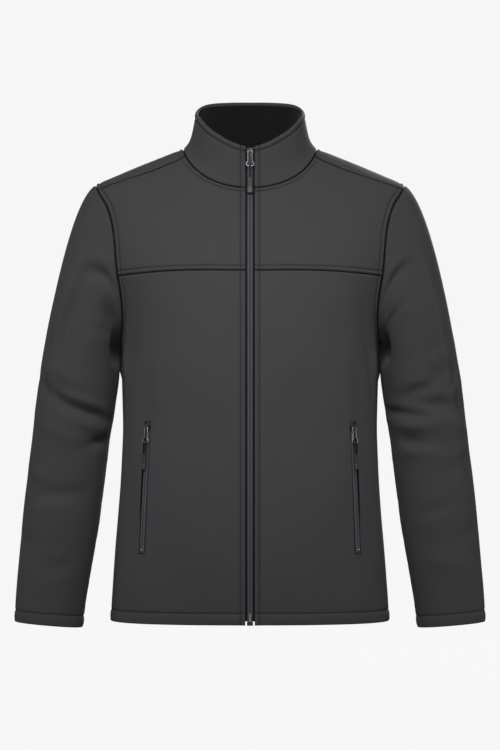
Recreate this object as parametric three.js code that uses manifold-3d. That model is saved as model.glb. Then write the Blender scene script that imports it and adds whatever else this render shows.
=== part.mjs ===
// Softshell jacket, standing hollow as if worn. Millimetres, +Z up, the front faces -Y, the wearer's left is +X.
// The origin is the middle of the neck hole, level with the top of the shoulders.
import * as THREE from "three";
import Module from "manifold-3d";

const wasm = await Module();
wasm.setup();
const { Manifold, Mesh: SolidMesh, CrossSection } = wasm;

const CLOTH = 2;
const SEAM = 0.35;
const HEM = -728;
const rad = (deg) => (deg * Math.PI) / 180;
const mix = (a, b, t) => a + (b - a) * t;
const V = (x, y, z) => new THREE.Vector3(x, y, z);
const span = (a, b, steps) =>
  Array.from({ length: steps + 1 }, (_, i) => mix(a, b, i / steps));

// A smooth curve through rows of [place, value]: each row's slope is that of the parabola through its neighbours.
function curve(rows) {
  const slope = rows.map((row, i) => {
    const a = rows[Math.max(i - 1, 0)];
    const b = rows[Math.min(i + 1, rows.length - 1)];
    if (a === row || b === row) return (b[1] - a[1]) / (b[0] - a[0]);
    const ha = row[0] - a[0];
    const hb = b[0] - row[0];
    return (((row[1] - a[1]) / ha) * hb + ((b[1] - row[1]) / hb) * ha) / (ha + hb);
  });
  return (at) => {
    const x = Math.min(Math.max(at, rows[0][0]), rows[rows.length - 1][0]);
    let i = 0;
    while (i < rows.length - 2 && x > rows[i + 1][0]) i += 1;
    const h = rows[i + 1][0] - rows[i][0];
    const t = (x - rows[i][0]) / h;
    return (
      rows[i][1] * (1 + 2 * t) * (1 - t) ** 2 +
      slope[i] * h * t * (1 - t) ** 2 +
      rows[i + 1][1] * t * t * (3 - 2 * t) +
      slope[i + 1] * h * t * t * (t - 1)
    );
  };
}

// The body's half-width, its depth in front and behind, and how square its level sections are, by height.
const halfWidth = curve([
  [-736, 216.5], [-666, 211.6], [-617, 207.7], [-567, 203], [-518, 199.2], [-468, 197], [-434, 196.1],
  [-394, 197], [-356, 198.2], [-300, 198.3], [-268, 201], [-228, 214], [-183, 236], [-129, 255], [-90, 262],
  [-70, 257], [-57.4, 242.5], [-52.7, 234.5], [-48.1, 225], [-43.4, 213.7], [-38.8, 202.9], [-34.1, 192],
  [-29.5, 181], [-24.8, 169.9], [-20.2, 158.4], [-15.5, 146.9], [-10.9, 135.3], [-6.2, 123.4], [-1.6, 110.8],
  [1, 104], [5, 93], [10, 80], [20, 62],
]);
const depthFront = curve([
  [-736, 123], [-600, 127], [-450, 132], [-300, 140], [-228, 138], [-183, 132], [-129, 114], [-90, 97],
  [-63, 86], [-45, 73], [-28, 60], [-10, 45], [0, 38], [10, 34], [20, 32],
]);
const depthBack = curve([
  [-736, 120], [-600, 112], [-430, 108], [-300, 122], [-180, 130], [-120, 125], [-60, 110], [-25, 96],
  [0, 83], [10, 78], [20, 74],
]);
const squareness = curve([
  [-736, 2.5], [-300, 2.5], [-176, 2.4], [-90, 2.25], [-60, 2.1], [-28, 2], [20, 2],
]);

const superRadius = (psi, w, d, n) =>
  ((Math.abs(Math.sin(psi)) / w) ** n + (Math.abs(Math.cos(psi)) / d) ** n) ** (-1 / n);

// The body without folds: psi in degrees goes from the centre front (0) round the wearer's left (90) to the back (180).
function form(psi, z) {
  const p = rad(psi);
  const depth = Math.cos(p) > 0 ? depthFront(z) : depthBack(z);
  const r = superRadius(p, halfWidth(z), depth, squareness(z));
  return V(r * Math.sin(p), -r * Math.cos(p), z);
}

function formNormal(psi, z) {
  const across = form(psi + 0.4, z).sub(form(psi - 0.4, z));
  const up = form(psi, z + 0.8).sub(form(psi, z - 0.8));
  return across.cross(up).normalize();
}

// Soft folds of the body, [psi, z, wide, tall, lean, height], lean in degrees of psi per millimetre.
const BODY_FOLDS = [
  [62, -380, 7, 75, -0.03, -3],
  [55, -360, 6, 80, -0.03, 1.8],
  [-60, -395, 7, 80, 0.035, -3.4],
  [-52, -370, 6, 85, 0.03, 2],
  [33, -300, 12, 70, 0.12, 2.2],
  [-36, -320, 12, 85, -0.1, 2.4],
  [78, -520, 7, 110, 0.012, 2],
  [-80, -560, 8, 120, -0.01, 2.2],
  [118, -400, 8, 120, 0.04, -4],
  [-121, -430, 9, 110, -0.035, -4.4],
  [140, -330, 10, 80, 0.06, 3],
  [-143, -350, 11, 90, -0.05, 3.2],
  [160, -560, 10, 130, 0.01, -2.6],
  [-165, -600, 11, 120, -0.02, -2.8],
  [128, -180, 9, 60, 0.05, 2.4],
  [-130, -170, 9, 65, -0.05, 2.6],
];
const bump = (x) => Math.exp(-x * x);

function bodyFold(psi, z) {
  let sum = 0;
  const round = psi > 180 ? psi - 360 : psi;
  for (const [at, height, wide, tall, lean, rise] of BODY_FOLDS) {
    const dz = z - height;
    sum += rise * bump((round - at - lean * dz) / wide) * bump(dz / tall);
  }
  return sum;
}

const body = (psi, z) => form(psi, z).addScaledVector(formNormal(psi, z), bodyFold(psi, z));

// The neck hole is where an upright tube of the neck's plan meets the body.
const neckRadius = (psi) =>
  superRadius(rad(psi), 104, Math.cos(rad(psi)) > 0 ? 86 : 78, 2.3);

function neckHeight(psi) {
  const wanted = neckRadius(psi);
  let low = -90;
  let high = 18;
  for (let i = 0; i < 40; i++) {
    const mid = (low + high) / 2;
    const p = form(psi, mid);
    if (Math.hypot(p.x, p.y) > wanted) low = mid;
    else high = mid;
  }
  return low;
}

// The armhole, by tau in degrees: 0 at the top, 90 in front, 180 under the arm, 270 behind.
const armhole = (tau) => [
  90 - 21.5 * Math.sin(rad(tau)),
  -176 + 121 * Math.cos(rad(tau)),
];

// Where the chest seam and the shoulder seam meet the armhole, and the shoulder seam's way to the neck.
const TAU_CHEST = 98;
const TAU_SHOULDER = 22;
const shoulderPsi = curve([[-64, 82.2], [-45, 77.4], [-28.7, 73.8], [-18, 72.6], [-6, 72.4]]);
let neckSide = 72.5;
for (let i = 0; i < 20; i++) neckSide = shoulderPsi(neckHeight(neckSide));
const [seamEndPsi, seamEndZ] = armhole(TAU_SHOULDER);
const shoulderShift = seamEndPsi - shoulderPsi(seamEndZ);

function shoulderSeam(t) {
  const top = neckHeight(neckSide);
  const z = mix(top, seamEndZ, t ** 0.85);
  return [shoulderPsi(z) + shoulderShift * ((z - top) / (seamEndZ - top)), z];
}

const chestZ = curve([[0, -189.5], [10, -189], [25, -187.3], [45, -188.5], [72, -193]]);

// The degrees of psi at which a point of the body is x millimetres from the centre front.
function psiAt(x, z) {
  let psi = (x / depthFront(z)) * 57.3;
  for (let i = 0; i < 4; i++) psi *= x / form(psi, z).x;
  return psi;
}
const EDGE = 7.1;
const edgePsi = (z) => psiAt(EDGE, z);

// A wall between a grid of outer points and the same grid moved in by its thickness.
function wall(grid, loop = false) {
  const rows = grid.length;
  const cols = grid[0].length;
  const at = [];
  for (const row of grid) for (const g of row) at.push(g.p.x, g.p.y, g.p.z);
  for (const row of grid)
    for (const g of row) {
      const q = g.p.clone().addScaledVector(g.n, -g.t);
      at.push(q.x, q.y, q.z);
    }
  const faces = [];
  const inner = rows * cols;
  const id = (i, j) => i * cols + (j % cols);
  const quad = (a, b, c, d) => faces.push(a, b, c, a, c, d);
  const last = loop ? cols : cols - 1;
  for (let i = 0; i < rows - 1; i++)
    for (let j = 0; j < last; j++) {
      quad(id(i, j), id(i, j + 1), id(i + 1, j + 1), id(i + 1, j));
      quad(inner + id(i, j), inner + id(i + 1, j), inner + id(i + 1, j + 1), inner + id(i, j + 1));
    }
  for (let j = 0; j < last; j++) {
    quad(id(0, j), inner + id(0, j), inner + id(0, j + 1), id(0, j + 1));
    const k = rows - 1;
    quad(id(k, j), id(k, j + 1), inner + id(k, j + 1), inner + id(k, j));
  }
  if (!loop)
    for (let i = 0; i < rows - 1; i++) {
      const k = cols - 1;
      quad(id(i, 0), id(i + 1, 0), inner + id(i + 1, 0), inner + id(i, 0));
      quad(id(i, k), inner + id(i, k), inner + id(i + 1, k), id(i + 1, k));
    }
  return closed(at, faces);
}

function closed(at, faces) {
  const p = (i) => V(at[3 * i], at[3 * i + 1], at[3 * i + 2]);
  let volume = 0;
  for (let i = 0; i < faces.length; i += 3)
    volume += p(faces[i]).dot(p(faces[i + 1]).cross(p(faces[i + 2])));
  if (volume < 0)
    for (let i = 0; i < faces.length; i += 3)
      [faces[i + 1], faces[i + 2]] = [faces[i + 2], faces[i + 1]];
  return { at, faces };
}

const toSolid = ({ at, faces }) =>
  new Manifold(
    new SolidMesh({
      numProp: 3,
      vertProperties: new Float32Array(at),
      triVerts: new Uint32Array(faces),
    }),
  );

function fromSolid(solid) {
  const m = solid.getMesh();
  return { at: Array.from(m.vertProperties), faces: Array.from(m.triVerts) };
}

const mirrored = ({ at, faces }) =>
  closed(at.map((v, i) => (i % 3 === 0 ? -v : v)), [...faces]);

// One point of the body's cloth: the place and the way out, with the cloth's thickness.
const cloth = (psi, z, t = CLOTH) => ({ p: body(psi, z), n: formNormal(psi, z), t });

const hemRows = [HEM, -711.5, -709.5];
const sideRows = [...hemRows, ...span(-678, -297, 12)];
const COLUMNS = 11;
const NECK_COLUMNS = 6;
const lowerTaus = span(180, TAU_CHEST, 6);
const yokeTaus = span(TAU_CHEST, TAU_SHOULDER, 5);
const backTaus = span(180, 360 + TAU_SHOULDER, 14);
const hemDepth = (z) => (z < -711 ? 3.2 : CLOTH);
const COLUMN_AT = [0, 0.101, 0.217, 0.343, 0.459, 0.551, 0.626, 0.689, 0.752, 0.816, 0.902, 1];
const column = (j) => COLUMN_AT[j];

// side is 1 for the wearer's left and -1 for the right: the folds differ, the seams don't.
function frontLower(side) {
  const rows = [];
  const push = (zOf, psiEnd) => {
    const row = [];
    for (let j = 0; j <= COLUMNS; j++) {
      let psi = 0;
      let z = zOf(0);
      for (let k = 0; k < 3; k++) {
        psi = mix(edgePsi(z), psiEnd, column(j));
        z = zOf(psi);
      }
      row.push(cloth(side * psi, z, j > 1 ? hemDepth(z) : CLOTH));
    }
    rows.push(row);
  };
  for (const z of sideRows) push(() => z, 90 - 0.05);
  for (let k = 1; k < lowerTaus.length; k++) {
    const [psiEnd, zEnd] = armhole(lowerTaus[k]);
    const share = k / (lowerTaus.length - 1);
    const inset = k === lowerTaus.length - 1 ? 0.16 : 0;
    push((psi) => zEnd + share * (chestZ(psi) - chestZ(psiEnd)) - inset, psiEnd);
  }
  return wall(rows);
}

// A patch between four sides given as lists of [psi, z] with matching corners. The bottom and top are joined by
// straight lines, and the way in which each side leaves its own straight line fades out towards the middle.
const fade = (u) => (u < 0.5 ? (1 - 2 * u) ** 2 * (1 + 4 * u) : 0);

function patch(bottom, top, left, right) {
  const nu = bottom.length - 1;
  const nv = left.length - 1;
  return left.map((_, i) =>
    bottom.map((__, j) => {
      const u = j / nu;
      const v = i / nv;
      return [0, 1].map(
        (k) =>
          mix(bottom[j][k], top[j][k], v) +
          fade(u) * (left[i][k] - mix(left[0][k], left[nv][k], v)) +
          fade(1 - u) * (right[i][k] - mix(right[0][k], right[nv][k], v)),
      );
    }),
  );
}

const seamSteps = COLUMNS - NECK_COLUMNS;
const neckFront = span(0, 1, NECK_COLUMNS).map((t) => {
  const start = psiAt(EDGE, neckHeight(4));
  return mix(start, neckSide, t);
});

function yoke(side) {
  const zEnd = armhole(TAU_CHEST);
  const bottom = span(0, 1, COLUMNS).map((_, j) => {
    let psi = 0;
    let z = chestZ(0);
    for (let k = 0; k < 3; k++) {
      psi = mix(edgePsi(z), zEnd[0], column(j));
      z = zEnd[1] + chestZ(psi) - chestZ(zEnd[0]);
    }
    return [psi, z + 0.16];
  });
  const right = yokeTaus.map((tau) => armhole(tau));
  const top = [
    ...neckFront.map((psi) => [psi, neckHeight(psi)]),
    ...span(0, 1, seamSteps).slice(1).map(shoulderSeam),
  ].map(([psi, z], j) => (j > NECK_COLUMNS - 1 ? [psi - 0.09, z] : [psi, z]));
  right[0] = bottom[COLUMNS];
  right[right.length - 1] = top[COLUMNS];
  const left = span(bottom[0][1], top[0][1], yokeTaus.length - 1).map((z, i, all) =>
    i === 0 ? bottom[0] : i === all.length - 1 ? top[0] : [edgePsi(z), z],
  );
  const grid = patch(bottom, top, left, right);
  return wall(grid.map((row) => row.map(([psi, z]) => cloth(side * psi, z))));
}

const NECK_BACK = 7;
const neckBack = span(neckSide, 180, NECK_BACK);

function back() {
  const half = (list) => [...list, ...list.slice(0, -1).reverse().map(([psi, z]) => [360 - psi, z])];
  const top = half([
    ...span(0, 1, seamSteps).slice(1).reverse().map(shoulderSeam).map(([psi, z]) => [psi + 0.09, z]),
    ...neckBack.map((psi, i) => [psi + (i ? 0 : 0.09), neckHeight(psi)]),
  ]);
  const columns = top.length - 1;
  const rows = sideRows.slice(0, -1).map((z) =>
    span(90.05, 269.95, columns).map((psi) => [psi, z]),
  );
  const left = backTaus.map((tau) => armhole(tau));
  left[0] = [90.05, -297];
  left[left.length - 1] = top[0];
  const guide = 8;
  for (let i = 0; i <= guide; i++) {
    const [psi, z] = left[i];
    rows.push(
      span(psi, 360 - psi, columns).map((p, j) => [p, z + (12 * (i / guide) * (4 * j * (columns - j))) / columns ** 2]),
    );
  }
  const bottom = rows.pop();
  const sides = left.slice(guide);
  rows.push(...patch(bottom, top, sides, sides.map(([psi, z]) => [360 - psi, z])));
  return wall(rows.map((row) => row.map(([psi, z]) => cloth(psi, z, hemDepth(z)))));
}

// The sleeve. Below the upper arm it is a run of rings between an outer and an inner line.
const sleeveOuter = curve([
  [-735, 362.4], [-698, 361.3], [-636, 356.7], [-574, 352], [-512, 345.8], [-450, 338], [-388, 331],
  [-344, 324.9], [-319, 320.6], [-290, 315],
]);
const sleeveInner = curve([
  [-740, 258], [-729, 256.7], [-692, 252], [-654, 245.8], [-617, 239.6], [-580, 233.4], [-543, 228.8],
  [-506, 224], [-481, 221], [-444, 216.4], [-419, 211.7], [-388, 207], [-357, 202.9], [-341, 201.6], [-320, 200],
]);
const sleeveDepth = curve([[0, 66], [0.25, 62], [0.5, 56], [0.75, 47], [1, 37]]);
const sleeveMiddle = curve([[0, 0], [0.3, 2], [0.6, -8], [0.85, -24], [1, -34]]);

function ring(tau, w) {
  const zo = mix(-319, -728, w);
  const zi = zo - mix(22, 9, w ** 0.7);
  const outer = V(sleeveOuter(zo), 0, zo);
  const inner = V(sleeveInner(zi), 0, zi);
  const squash = (v) => Math.sign(v) * Math.abs(v) ** (2 / 2.2);
  const c = squash(Math.cos(rad(tau)));
  const s = squash(Math.sin(rad(tau)));
  const p = outer.clone().add(inner).multiplyScalar(0.5);
  p.addScaledVector(outer.clone().sub(inner), c / 2);
  p.y = sleeveMiddle(w) - sleeveDepth(w) * s;
  return p;
}

// s from 0 to 1 is the cap, from the armhole to the upper arm; from 1 to 2 the arm, down to the cuff.
function sleeveForm(tau, s) {
  if (s >= 1) return ring(tau, s - 1);
  const [psi, z] = armhole(tau);
  const n = formNormal(psi, z);
  const [psiIn, zIn] = [90 - 21.2 * Math.sin(rad(tau)), -176 + 120.65 * Math.cos(rad(tau))];
  const a = body(psiIn, zIn).addScaledVector(n, SEAM);
  const c = Math.cos(rad(tau));
  const sn = Math.sin(rad(tau));
  const c2 = Math.cos(2 * rad(tau));
  const start = V(
    0.5 + 0.38 * c - 0.02 * c2,
    0.015 + 0.15 * sn - 0.015 * c2,
    -0.794 + 0.2425 * c + 0.005 * sn + 0.041 * c2,
  ).addScaledVector(n, 0.6 * Math.max(0, -c) ** 0.8).normalize();
  const d = ring(tau, 0);
  const end = ring(tau, 0.03).sub(d).normalize();
  const far = a.distanceTo(d);
  const b = a.clone().addScaledVector(start, far * (c > 0 ? 0.2 - 0.07 * c * c : 0.2 + 0.22 * c * c));
  const e = d.clone().addScaledVector(end, -0.46 * far);
  const t = s;
  return a
    .clone()
    .multiplyScalar((1 - t) ** 3)
    .addScaledVector(b, 3 * t * (1 - t) ** 2)
    .addScaledVector(e, 3 * t * t * (1 - t))
    .addScaledVector(d, t ** 3);
}

function sleeveNormal(tau, s) {
  const ds = 0.01;
  const s0 = Math.max(s - ds, 0);
  const s1 = Math.min(s + ds, 2);
  const along =
    s0 < 1 && s1 > 1
      ? sleeveForm(tau, 1).sub(sleeveForm(tau, s0))
      : sleeveForm(tau, s1).sub(sleeveForm(tau, s0));
  const round = sleeveForm(tau + 1, s).sub(sleeveForm(tau - 1, s));
  return round.cross(along).normalize();
}

// Soft folds of each sleeve, [tau, s, wide, tall, lean, height]: wide and lean in degrees, tall in s.
const SLEEVE_FOLDS = {
  "-1": [
    [60, 1.14, 22, 0.045, 30, -7],
    [70, 1.055, 24, 0.05, 25, 3.2],
    [62, 1.26, 26, 0.05, 28, 3.4],
    [30, 0.78, 16, 0.22, -10, 3],
    [66, 0.7, 18, 0.25, -14, -2.6],
    [130, 1.3, 22, 0.04, -20, -3],
    [58, 1.5, 40, 0.06, 20, -2.4],
    [80, 1.62, 36, 0.06, -15, 1.8],
    [285, 1.12, 30, 0.05, -24, -5],
    [270, 1.3, 32, 0.06, 20, 3],
    [250, 0.75, 22, 0.2, 16, -3.4],
    [290, 1.62, 34, 0.07, -18, -2.4],
    [60, 1.83, 40, 0.06, 12, 1.5],
  ],
  1: [
    [66, 0.93, 24, 0.04, 34, -3.6],
    [62, 0.99, 22, 0.035, 34, 2.6],
    [70, 1.06, 26, 0.035, 30, -3.4],
    [64, 1.13, 28, 0.035, 30, 3],
    [84, 1.16, 28, 0.045, -30, -6.6],
    [60, 1.24, 24, 0.05, -26, 3],
    [96, 1.3, 26, 0.045, -20, -3.2],
    [70, 1.42, 34, 0.06, 18, -2.4],
    [84, 1.6, 36, 0.07, -14, 1.8],
    [290, 1.16, 30, 0.05, 24, -5],
    [266, 1.33, 30, 0.06, -20, 3],
    [255, 0.72, 22, 0.2, -16, -3.2],
    [285, 1.55, 34, 0.07, 18, -2.6],
    [66, 1.8, 40, 0.06, -12, 1.5],
  ],
};

function sleeveFold(side, tau, s) {
  let sum = 0;
  for (const [at, place, wide, tall, lean, rise] of SLEEVE_FOLDS[side]) {
    const ds = (s - place) / tall;
    let dt = (((tau - at - lean * ds) % 360) + 540) % 360;
    dt = (dt - 180) / wide;
    sum += rise * bump(dt) * bump(ds);
  }
  return sum;
}

const allTaus = [
  ...backTaus.slice(0, -1),
  ...yokeTaus.slice().reverse().slice(0, -1).map((t) => t + 360),
  ...lowerTaus.slice().reverse().slice(0, -1).map((t) => t + 360),
];
const sleeveRows = [
  0, 0.035, 0.09, 0.17, 0.27, 0.38, 0.5, 0.62, 0.74, 0.86, 0.94, 1, 1.05, 1.1, 1.145, 1.19, 1.24, 1.3, 1.37,
  1.45, 1.53, 1.61, 1.7, 1.79, 1.87, 1.952, 1.957, 2,
];

function sleeve(side) {
  const grid = sleeveRows.map((s) =>
    allTaus.map((tau) => {
      const n = sleeveNormal(tau, s);
      const p = sleeveForm(tau, s).addScaledVector(n, sleeveFold(side, tau, s) * Math.min(1, s * 4));
      return { p, n, t: s > 1.955 ? 3.2 : CLOTH };
    }),
  );
  const left = wall(grid, true);
  return side > 0 ? left : mirrored(left);
}

// The collar, by psi and t: t 0 on the neck seam, 1 at the rim.
const rimHeight = curve([
  [-17.5, 5.7], [0, 0], [17.5, 5.7], [33, 17], [51, 33], [66, 46.5], [80, 53.5], [92, 57.5], [103, 62.5],
  [112, 67], [118.4, 70.5], [126, 74], [137, 77], [151.6, 78.7], [180, 79.3], [208.4, 78.7],
]);

function collarForm(psi, t) {
  const p = rad(Math.abs(psi));
  const front = Math.cos(p) > 0;
  const base = neckRadius(psi) - SEAM;
  const rim = superRadius(p, 84, front ? 80 : 70, front ? 2.3 : 2.9);
  const w = 0.5 * (1 - (1 - t) ** 6) + 0.5 * t;
  const r = mix(base, rim, w);
  const z0 = neckHeight(Math.abs(psi));
  const shift = formNormal(psi, z0).multiplyScalar(SEAM * (1 - t) ** 2);
  return V(r * Math.sin(rad(psi)), -r * Math.cos(rad(psi)), mix(z0, rimHeight(Math.abs(psi)), t)).add(shift);
}

function collarNormal(psi, t) {
  const t0 = Math.max(t - 0.01, 0);
  const t1 = Math.min(t + 0.01, 1);
  const up = collarForm(psi, t1).sub(collarForm(psi, t0));
  const across = collarForm(psi + 0.5, t).sub(collarForm(psi - 0.5, t));
  return across.cross(up).normalize();
}

function collarEdge(x, t) {
  let psi = (x / 80) * 57.3;
  for (let i = 0; i < 5; i++) psi *= x / collarForm(psi, t).x;
  return psi;
}

const LIP = 0.925;
const collarRows = [0, 0.12, 0.28, 0.46, 0.66, 0.82, LIP - 0.006, LIP, 1];
const halfPsis = [...neckFront, ...neckBack.slice(1)];

function collarPsis(t) {
  const start = collarEdge(EDGE, t);
  const half = halfPsis.map((psi, i) =>
    i >= NECK_COLUMNS ? psi : start + (psi - halfPsis[0]) * ((neckSide - start) / (neckSide - halfPsis[0])),
  );
  return [...half, ...half.slice(0, -1).reverse().map((psi) => 360 - psi)];
}

function collar() {
  return wall(
    collarRows.map((t) =>
      collarPsis(t).map((psi) => {
        const q = psi > 180 ? psi - 360 : psi;
        const nearEdge = Math.abs(q) < collarEdge(16, t);
        return { p: collarForm(q, t), n: collarNormal(q, t), t: t >= LIP && !nearEdge ? 4.3 : CLOTH };
      }),
    ),
  );
}

function collarFacing() {
  return wall(
    [...collarRows.slice(0, -3), LIP - 0.012].map((t) => {
      const start = collarEdge(15, t);
      return collarPsis(t).map((psi, i, all) => {
        const q = i === 0 ? start : i === all.length - 1 ? -start : psi > 180 ? psi - 360 : psi;
        const n = collarNormal(q, t);
        return { p: collarForm(q, t).addScaledVector(n, -2.4), n, t: 1.8 };
      });
    }),
  );
}

// A point in front of or behind the centre-front line: along is a height on the body or, above the neck seam, a share
// of the collar, given as [kind, value]; depth is measured inwards from the cloth's face.
const neckFrontZ = neckHeight(0);
const frontStations = [
  ...[-722, -711.5, ...sideRows.slice(3, -1), -297].map((z) => ["body", z]),
  ...lowerTaus.slice(1).map((tau, k) => {
    const [psiEnd, zEnd] = armhole(tau);
    return ["body", zEnd + ((k + 1) / 6) * (chestZ(4) - chestZ(psiEnd))];
  }),
  ...span(chestZ(4), neckFrontZ, 5).slice(1, -1).map((z) => ["body", z]),
  ["neck", neckFrontZ],
  ...[0.12, 0.28, 0.46, 0.66, 0.84].map((t) => ["collar", t]),
];

function frontPoint([kind, value], x, depth) {
  if (kind === "collar") {
    const psi = Math.sign(x) * collarEdge(Math.abs(x), value);
    const deeper = depth + (depth > 0.5 ? 0.5 * (1 - value) ** 2 : 0);
    return collarForm(psi, value).addScaledVector(collarNormal(psi, value), -deeper);
  }
  const psi = Math.sign(x) * psiAt(Math.abs(x), value);
  const n = formNormal(psi, value);
  if (kind === "neck") n.add(collarNormal(psi, 0)).normalize();
  return body(psi, value).addScaledVector(n, -depth - (kind === "neck" ? 0.5 : 0));
}

// A bar swept through stations: sections are lists of points in the same order round the bar.
function sweep(given) {
  const clockwise = THREE.ShapeUtils.isClockWise(given[0].map((p) => p.profile));
  const sections = clockwise ? given.map((s) => s.slice().reverse()) : given;
  const outline = sections[0].map((p) => p.profile);
  const n = outline.length;
  const at = sections.flat().flatMap((p) => [p.x, p.y, p.z]);
  const faces = [];
  for (let i = 0; i < sections.length - 1; i++)
    for (let j = 0; j < n; j++) {
      const a = i * n + j;
      const b = i * n + ((j + 1) % n);
      faces.push(a, b, b + n, a, b + n, a + n);
    }
  const last = (sections.length - 1) * n;
  for (const cap of THREE.ShapeUtils.triangulateShape(outline, [])) {
    const turned = THREE.ShapeUtils.isClockWise(cap.map((i) => outline[i]));
    const [a, b, c] = turned ? [cap[0], cap[2], cap[1]] : cap;
    faces.push(a, c, b);
    faces.push(last + a, last + b, last + c);
  }
  return closed(at, faces);
}

function swept(profile, stations, place) {
  return sweep(
    stations.map((station) =>
      profile.map(([x, depth]) => {
        const p = place(station, x, depth);
        p.profile = new THREE.Vector2(x, depth);
        return p;
      }),
    ),
  );
}

const TAPE = [
  [0.15, 0.9], [4.2, 0.9], [4.4, 2.3], [14.2, 2.3], [14.2, 3.1], [4.4, 3.1], [4.2, 4.3], [0.15, 4.3],
];
const frontZip = (side) =>
  swept(TAPE.map(([x, d]) => [side * x, d]), frontStations, frontPoint);

// The pocket zips lie on a slanting line of the front; along is millimetres down the line from its top end.
const POCKET_TOP = [157, -419];
const POCKET_END = [165.9, -622];
const POCKET_LONG = Math.hypot(POCKET_END[0] - POCKET_TOP[0], POCKET_END[1] - POCKET_TOP[1]);

function pocketPoint(side, along, x, depth) {
  const t = along / POCKET_LONG;
  const slant = (POCKET_END[0] - POCKET_TOP[0]) / POCKET_LONG;
  const z = mix(POCKET_TOP[1], POCKET_END[1], t) + x * slant * 0.6;
  const mid = psiAt(mix(POCKET_TOP[0], POCKET_END[0], t), z);
  const psi = side * (mid + x / form(mid + 0.5, z).distanceTo(form(mid - 0.5, z)));
  return body(psi, z).addScaledVector(formNormal(psi, z), -depth);
}

const pocketStations = [8.5, 30, 55, 80, 105, 130, 155, 180, POCKET_LONG + 2];
const SLOT = 6.1;

function pocketCutter(side) {
  const profile = [[-SLOT, -5], [SLOT, -5], [SLOT, 6.5], [-SLOT, 6.5]];
  return toSolid(
    swept(profile, [2, 40, 80, 120, 160, POCKET_LONG - 3], (s, x, d) => pocketPoint(side, s, x, d)),
  );
}

const STRIP = [
  [-10, 2.9], [-4.2, 2.9], [-4, 0.9], [4, 0.9], [4.2, 2.9], [10, 2.9], [10, 3.5], [4.2, 3.5], [4, 4.2],
  [-4, 4.2], [-4.2, 3.5], [-10, 3.5],
];

// Small hardware is made flat, in a frame of its own: x across, y up the zip, z out from the cloth's face.
const box = (x0, x1, y0, y1, z0, z1) =>
  Manifold.cube([x1 - x0, y1 - y0, z1 - z0]).translate([x0, y0, z0]);
const plate = (outline, z0, z1) =>
  new CrossSection([outline], "NonZero").extrude(z1 - z0).translate([0, 0, z0]);

const SLIDER_OUTLINE = [
  [-2.6, 5.2], [-4.9, 3.4], [-4.7, -0.5], [-3.9, -5.2], [-3.1, -5.8], [3.1, -5.8], [3.9, -5.2], [4.7, -0.5],
  [4.9, 3.4], [2.6, 5.2],
];
const PIVOT = 1.75;

function sliderSolid() {
  const arch = plate(
    [[-4.6, 0.55], [-4.2, 2.5], [-2.6, 3.5], [2.4, 3.5], [4.3, 2.3], [4.8, 0.55], [3.2, 0.55], [2.6, 2.1],
      [1.6, 2.7], [-1.8, 2.7], [-2.7, 2.1], [-3.2, 0.55]],
    -0.75,
    0.75,
  ).rotate([90, 0, 90]);
  return Manifold.union([
    plate(SLIDER_OUTLINE, -0.55, 0.65),
    plate(SLIDER_OUTLINE, -5.7, -4.6),
    box(-4.95, -4.5, -4.2, 3, -2, -0.4),
    box(4.5, 4.95, -4.2, 3, -2, -0.4),
    box(-4.95, -4.5, -4.2, 3, -5.5, -3.9),
    box(4.5, 4.95, -4.2, 3, -5.5, -3.9),
    box(-1, 1, 2.6, 4.9, -5.5, 0.2),
    arch,
  ]);
}

// A round wire bent along a flat closed line, at height PIVOT above the face.
function wireLoop(points, radius, sides = 7) {
  const path = points.map(([x, y]) => V(x, y, PIVOT));
  const n = path.length;
  const at = [];
  const faces = [];
  for (let i = 0; i < n; i++) {
    const along = path[(i + 1) % n].clone().sub(path[(i + n - 1) % n]).normalize();
    const across = V(-along.y, along.x, 0);
    const turn = path[(i + 1) % n].clone().sub(path[i]).normalize();
    const wide = radius / Math.max(0.7, Math.abs(turn.dot(along)));
    for (let k = 0; k < sides; k++) {
      const a = (2 * Math.PI * k) / sides;
      const p = path[i].clone().addScaledVector(across, wide * Math.cos(a));
      at.push(p.x, p.y, p.z + radius * Math.sin(a));
    }
  }
  for (let i = 0; i < n; i++)
    for (let k = 0; k < sides; k++) {
      const a = i * sides + k;
      const b = i * sides + ((k + 1) % sides);
      const c = ((i + 1) % n) * sides + ((k + 1) % sides);
      const d = ((i + 1) % n) * sides + k;
      faces.push(a, b, c, a, c, d);
    }
  return closed(at, faces);
}

const FRAME_LINE = [
  [-2.6, 0], [0, 0], [2.6, 0], [3.3, -0.8], [3.35, -6], [3.4, -13], [3.6, -14.6], [5.2, -16.4], [5.9, -18.2],
  [5.3, -19.9], [3.6, -20.9], [0, -21.2], [-3.6, -20.9], [-5.3, -19.9], [-5.9, -18.2], [-5.2, -16.4],
  [-3.6, -14.6], [-3.4, -13], [-3.35, -6], [-3.3, -0.8],
];

// The cord is a flat loop round the frame's foot, its two legs closed together and held in the grip.
function cordSolid(length) {
  const foot = -21.2;
  const end = foot - length;
  const outer = [
    [foot + 1.1, PIVOT - 1.85], [foot + 2.3, PIVOT - 1.15], [foot + 2.7, PIVOT], [foot + 2.3, PIVOT + 1.15],
    [foot + 1.1, PIVOT + 1.85], [foot - 1.6, PIVOT + 1.85], [foot - 4.5, PIVOT + 1.1], [end, PIVOT + 1.05],
    [end, PIVOT - 1.05], [foot - 4.5, PIVOT - 1.1], [foot - 1.6, PIVOT - 1.85],
  ];
  const hole = [
    [foot + 0.9, PIVOT - 1.05], [foot + 1.4, PIVOT - 0.6], [foot + 1.6, PIVOT], [foot + 1.4, PIVOT + 0.6],
    [foot + 0.9, PIVOT + 1.05], [foot - 1.2, PIVOT + 1.05], [foot - 2.4, PIVOT], [foot - 1.2, PIVOT - 1.05],
  ];
  const flat = new CrossSection([outer], "NonZero").subtract(new CrossSection([hole], "NonZero"));
  return flat.extrude(2.7).translate([0, 0, -1.35]).rotate([90, 0, 90]);
}

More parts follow.
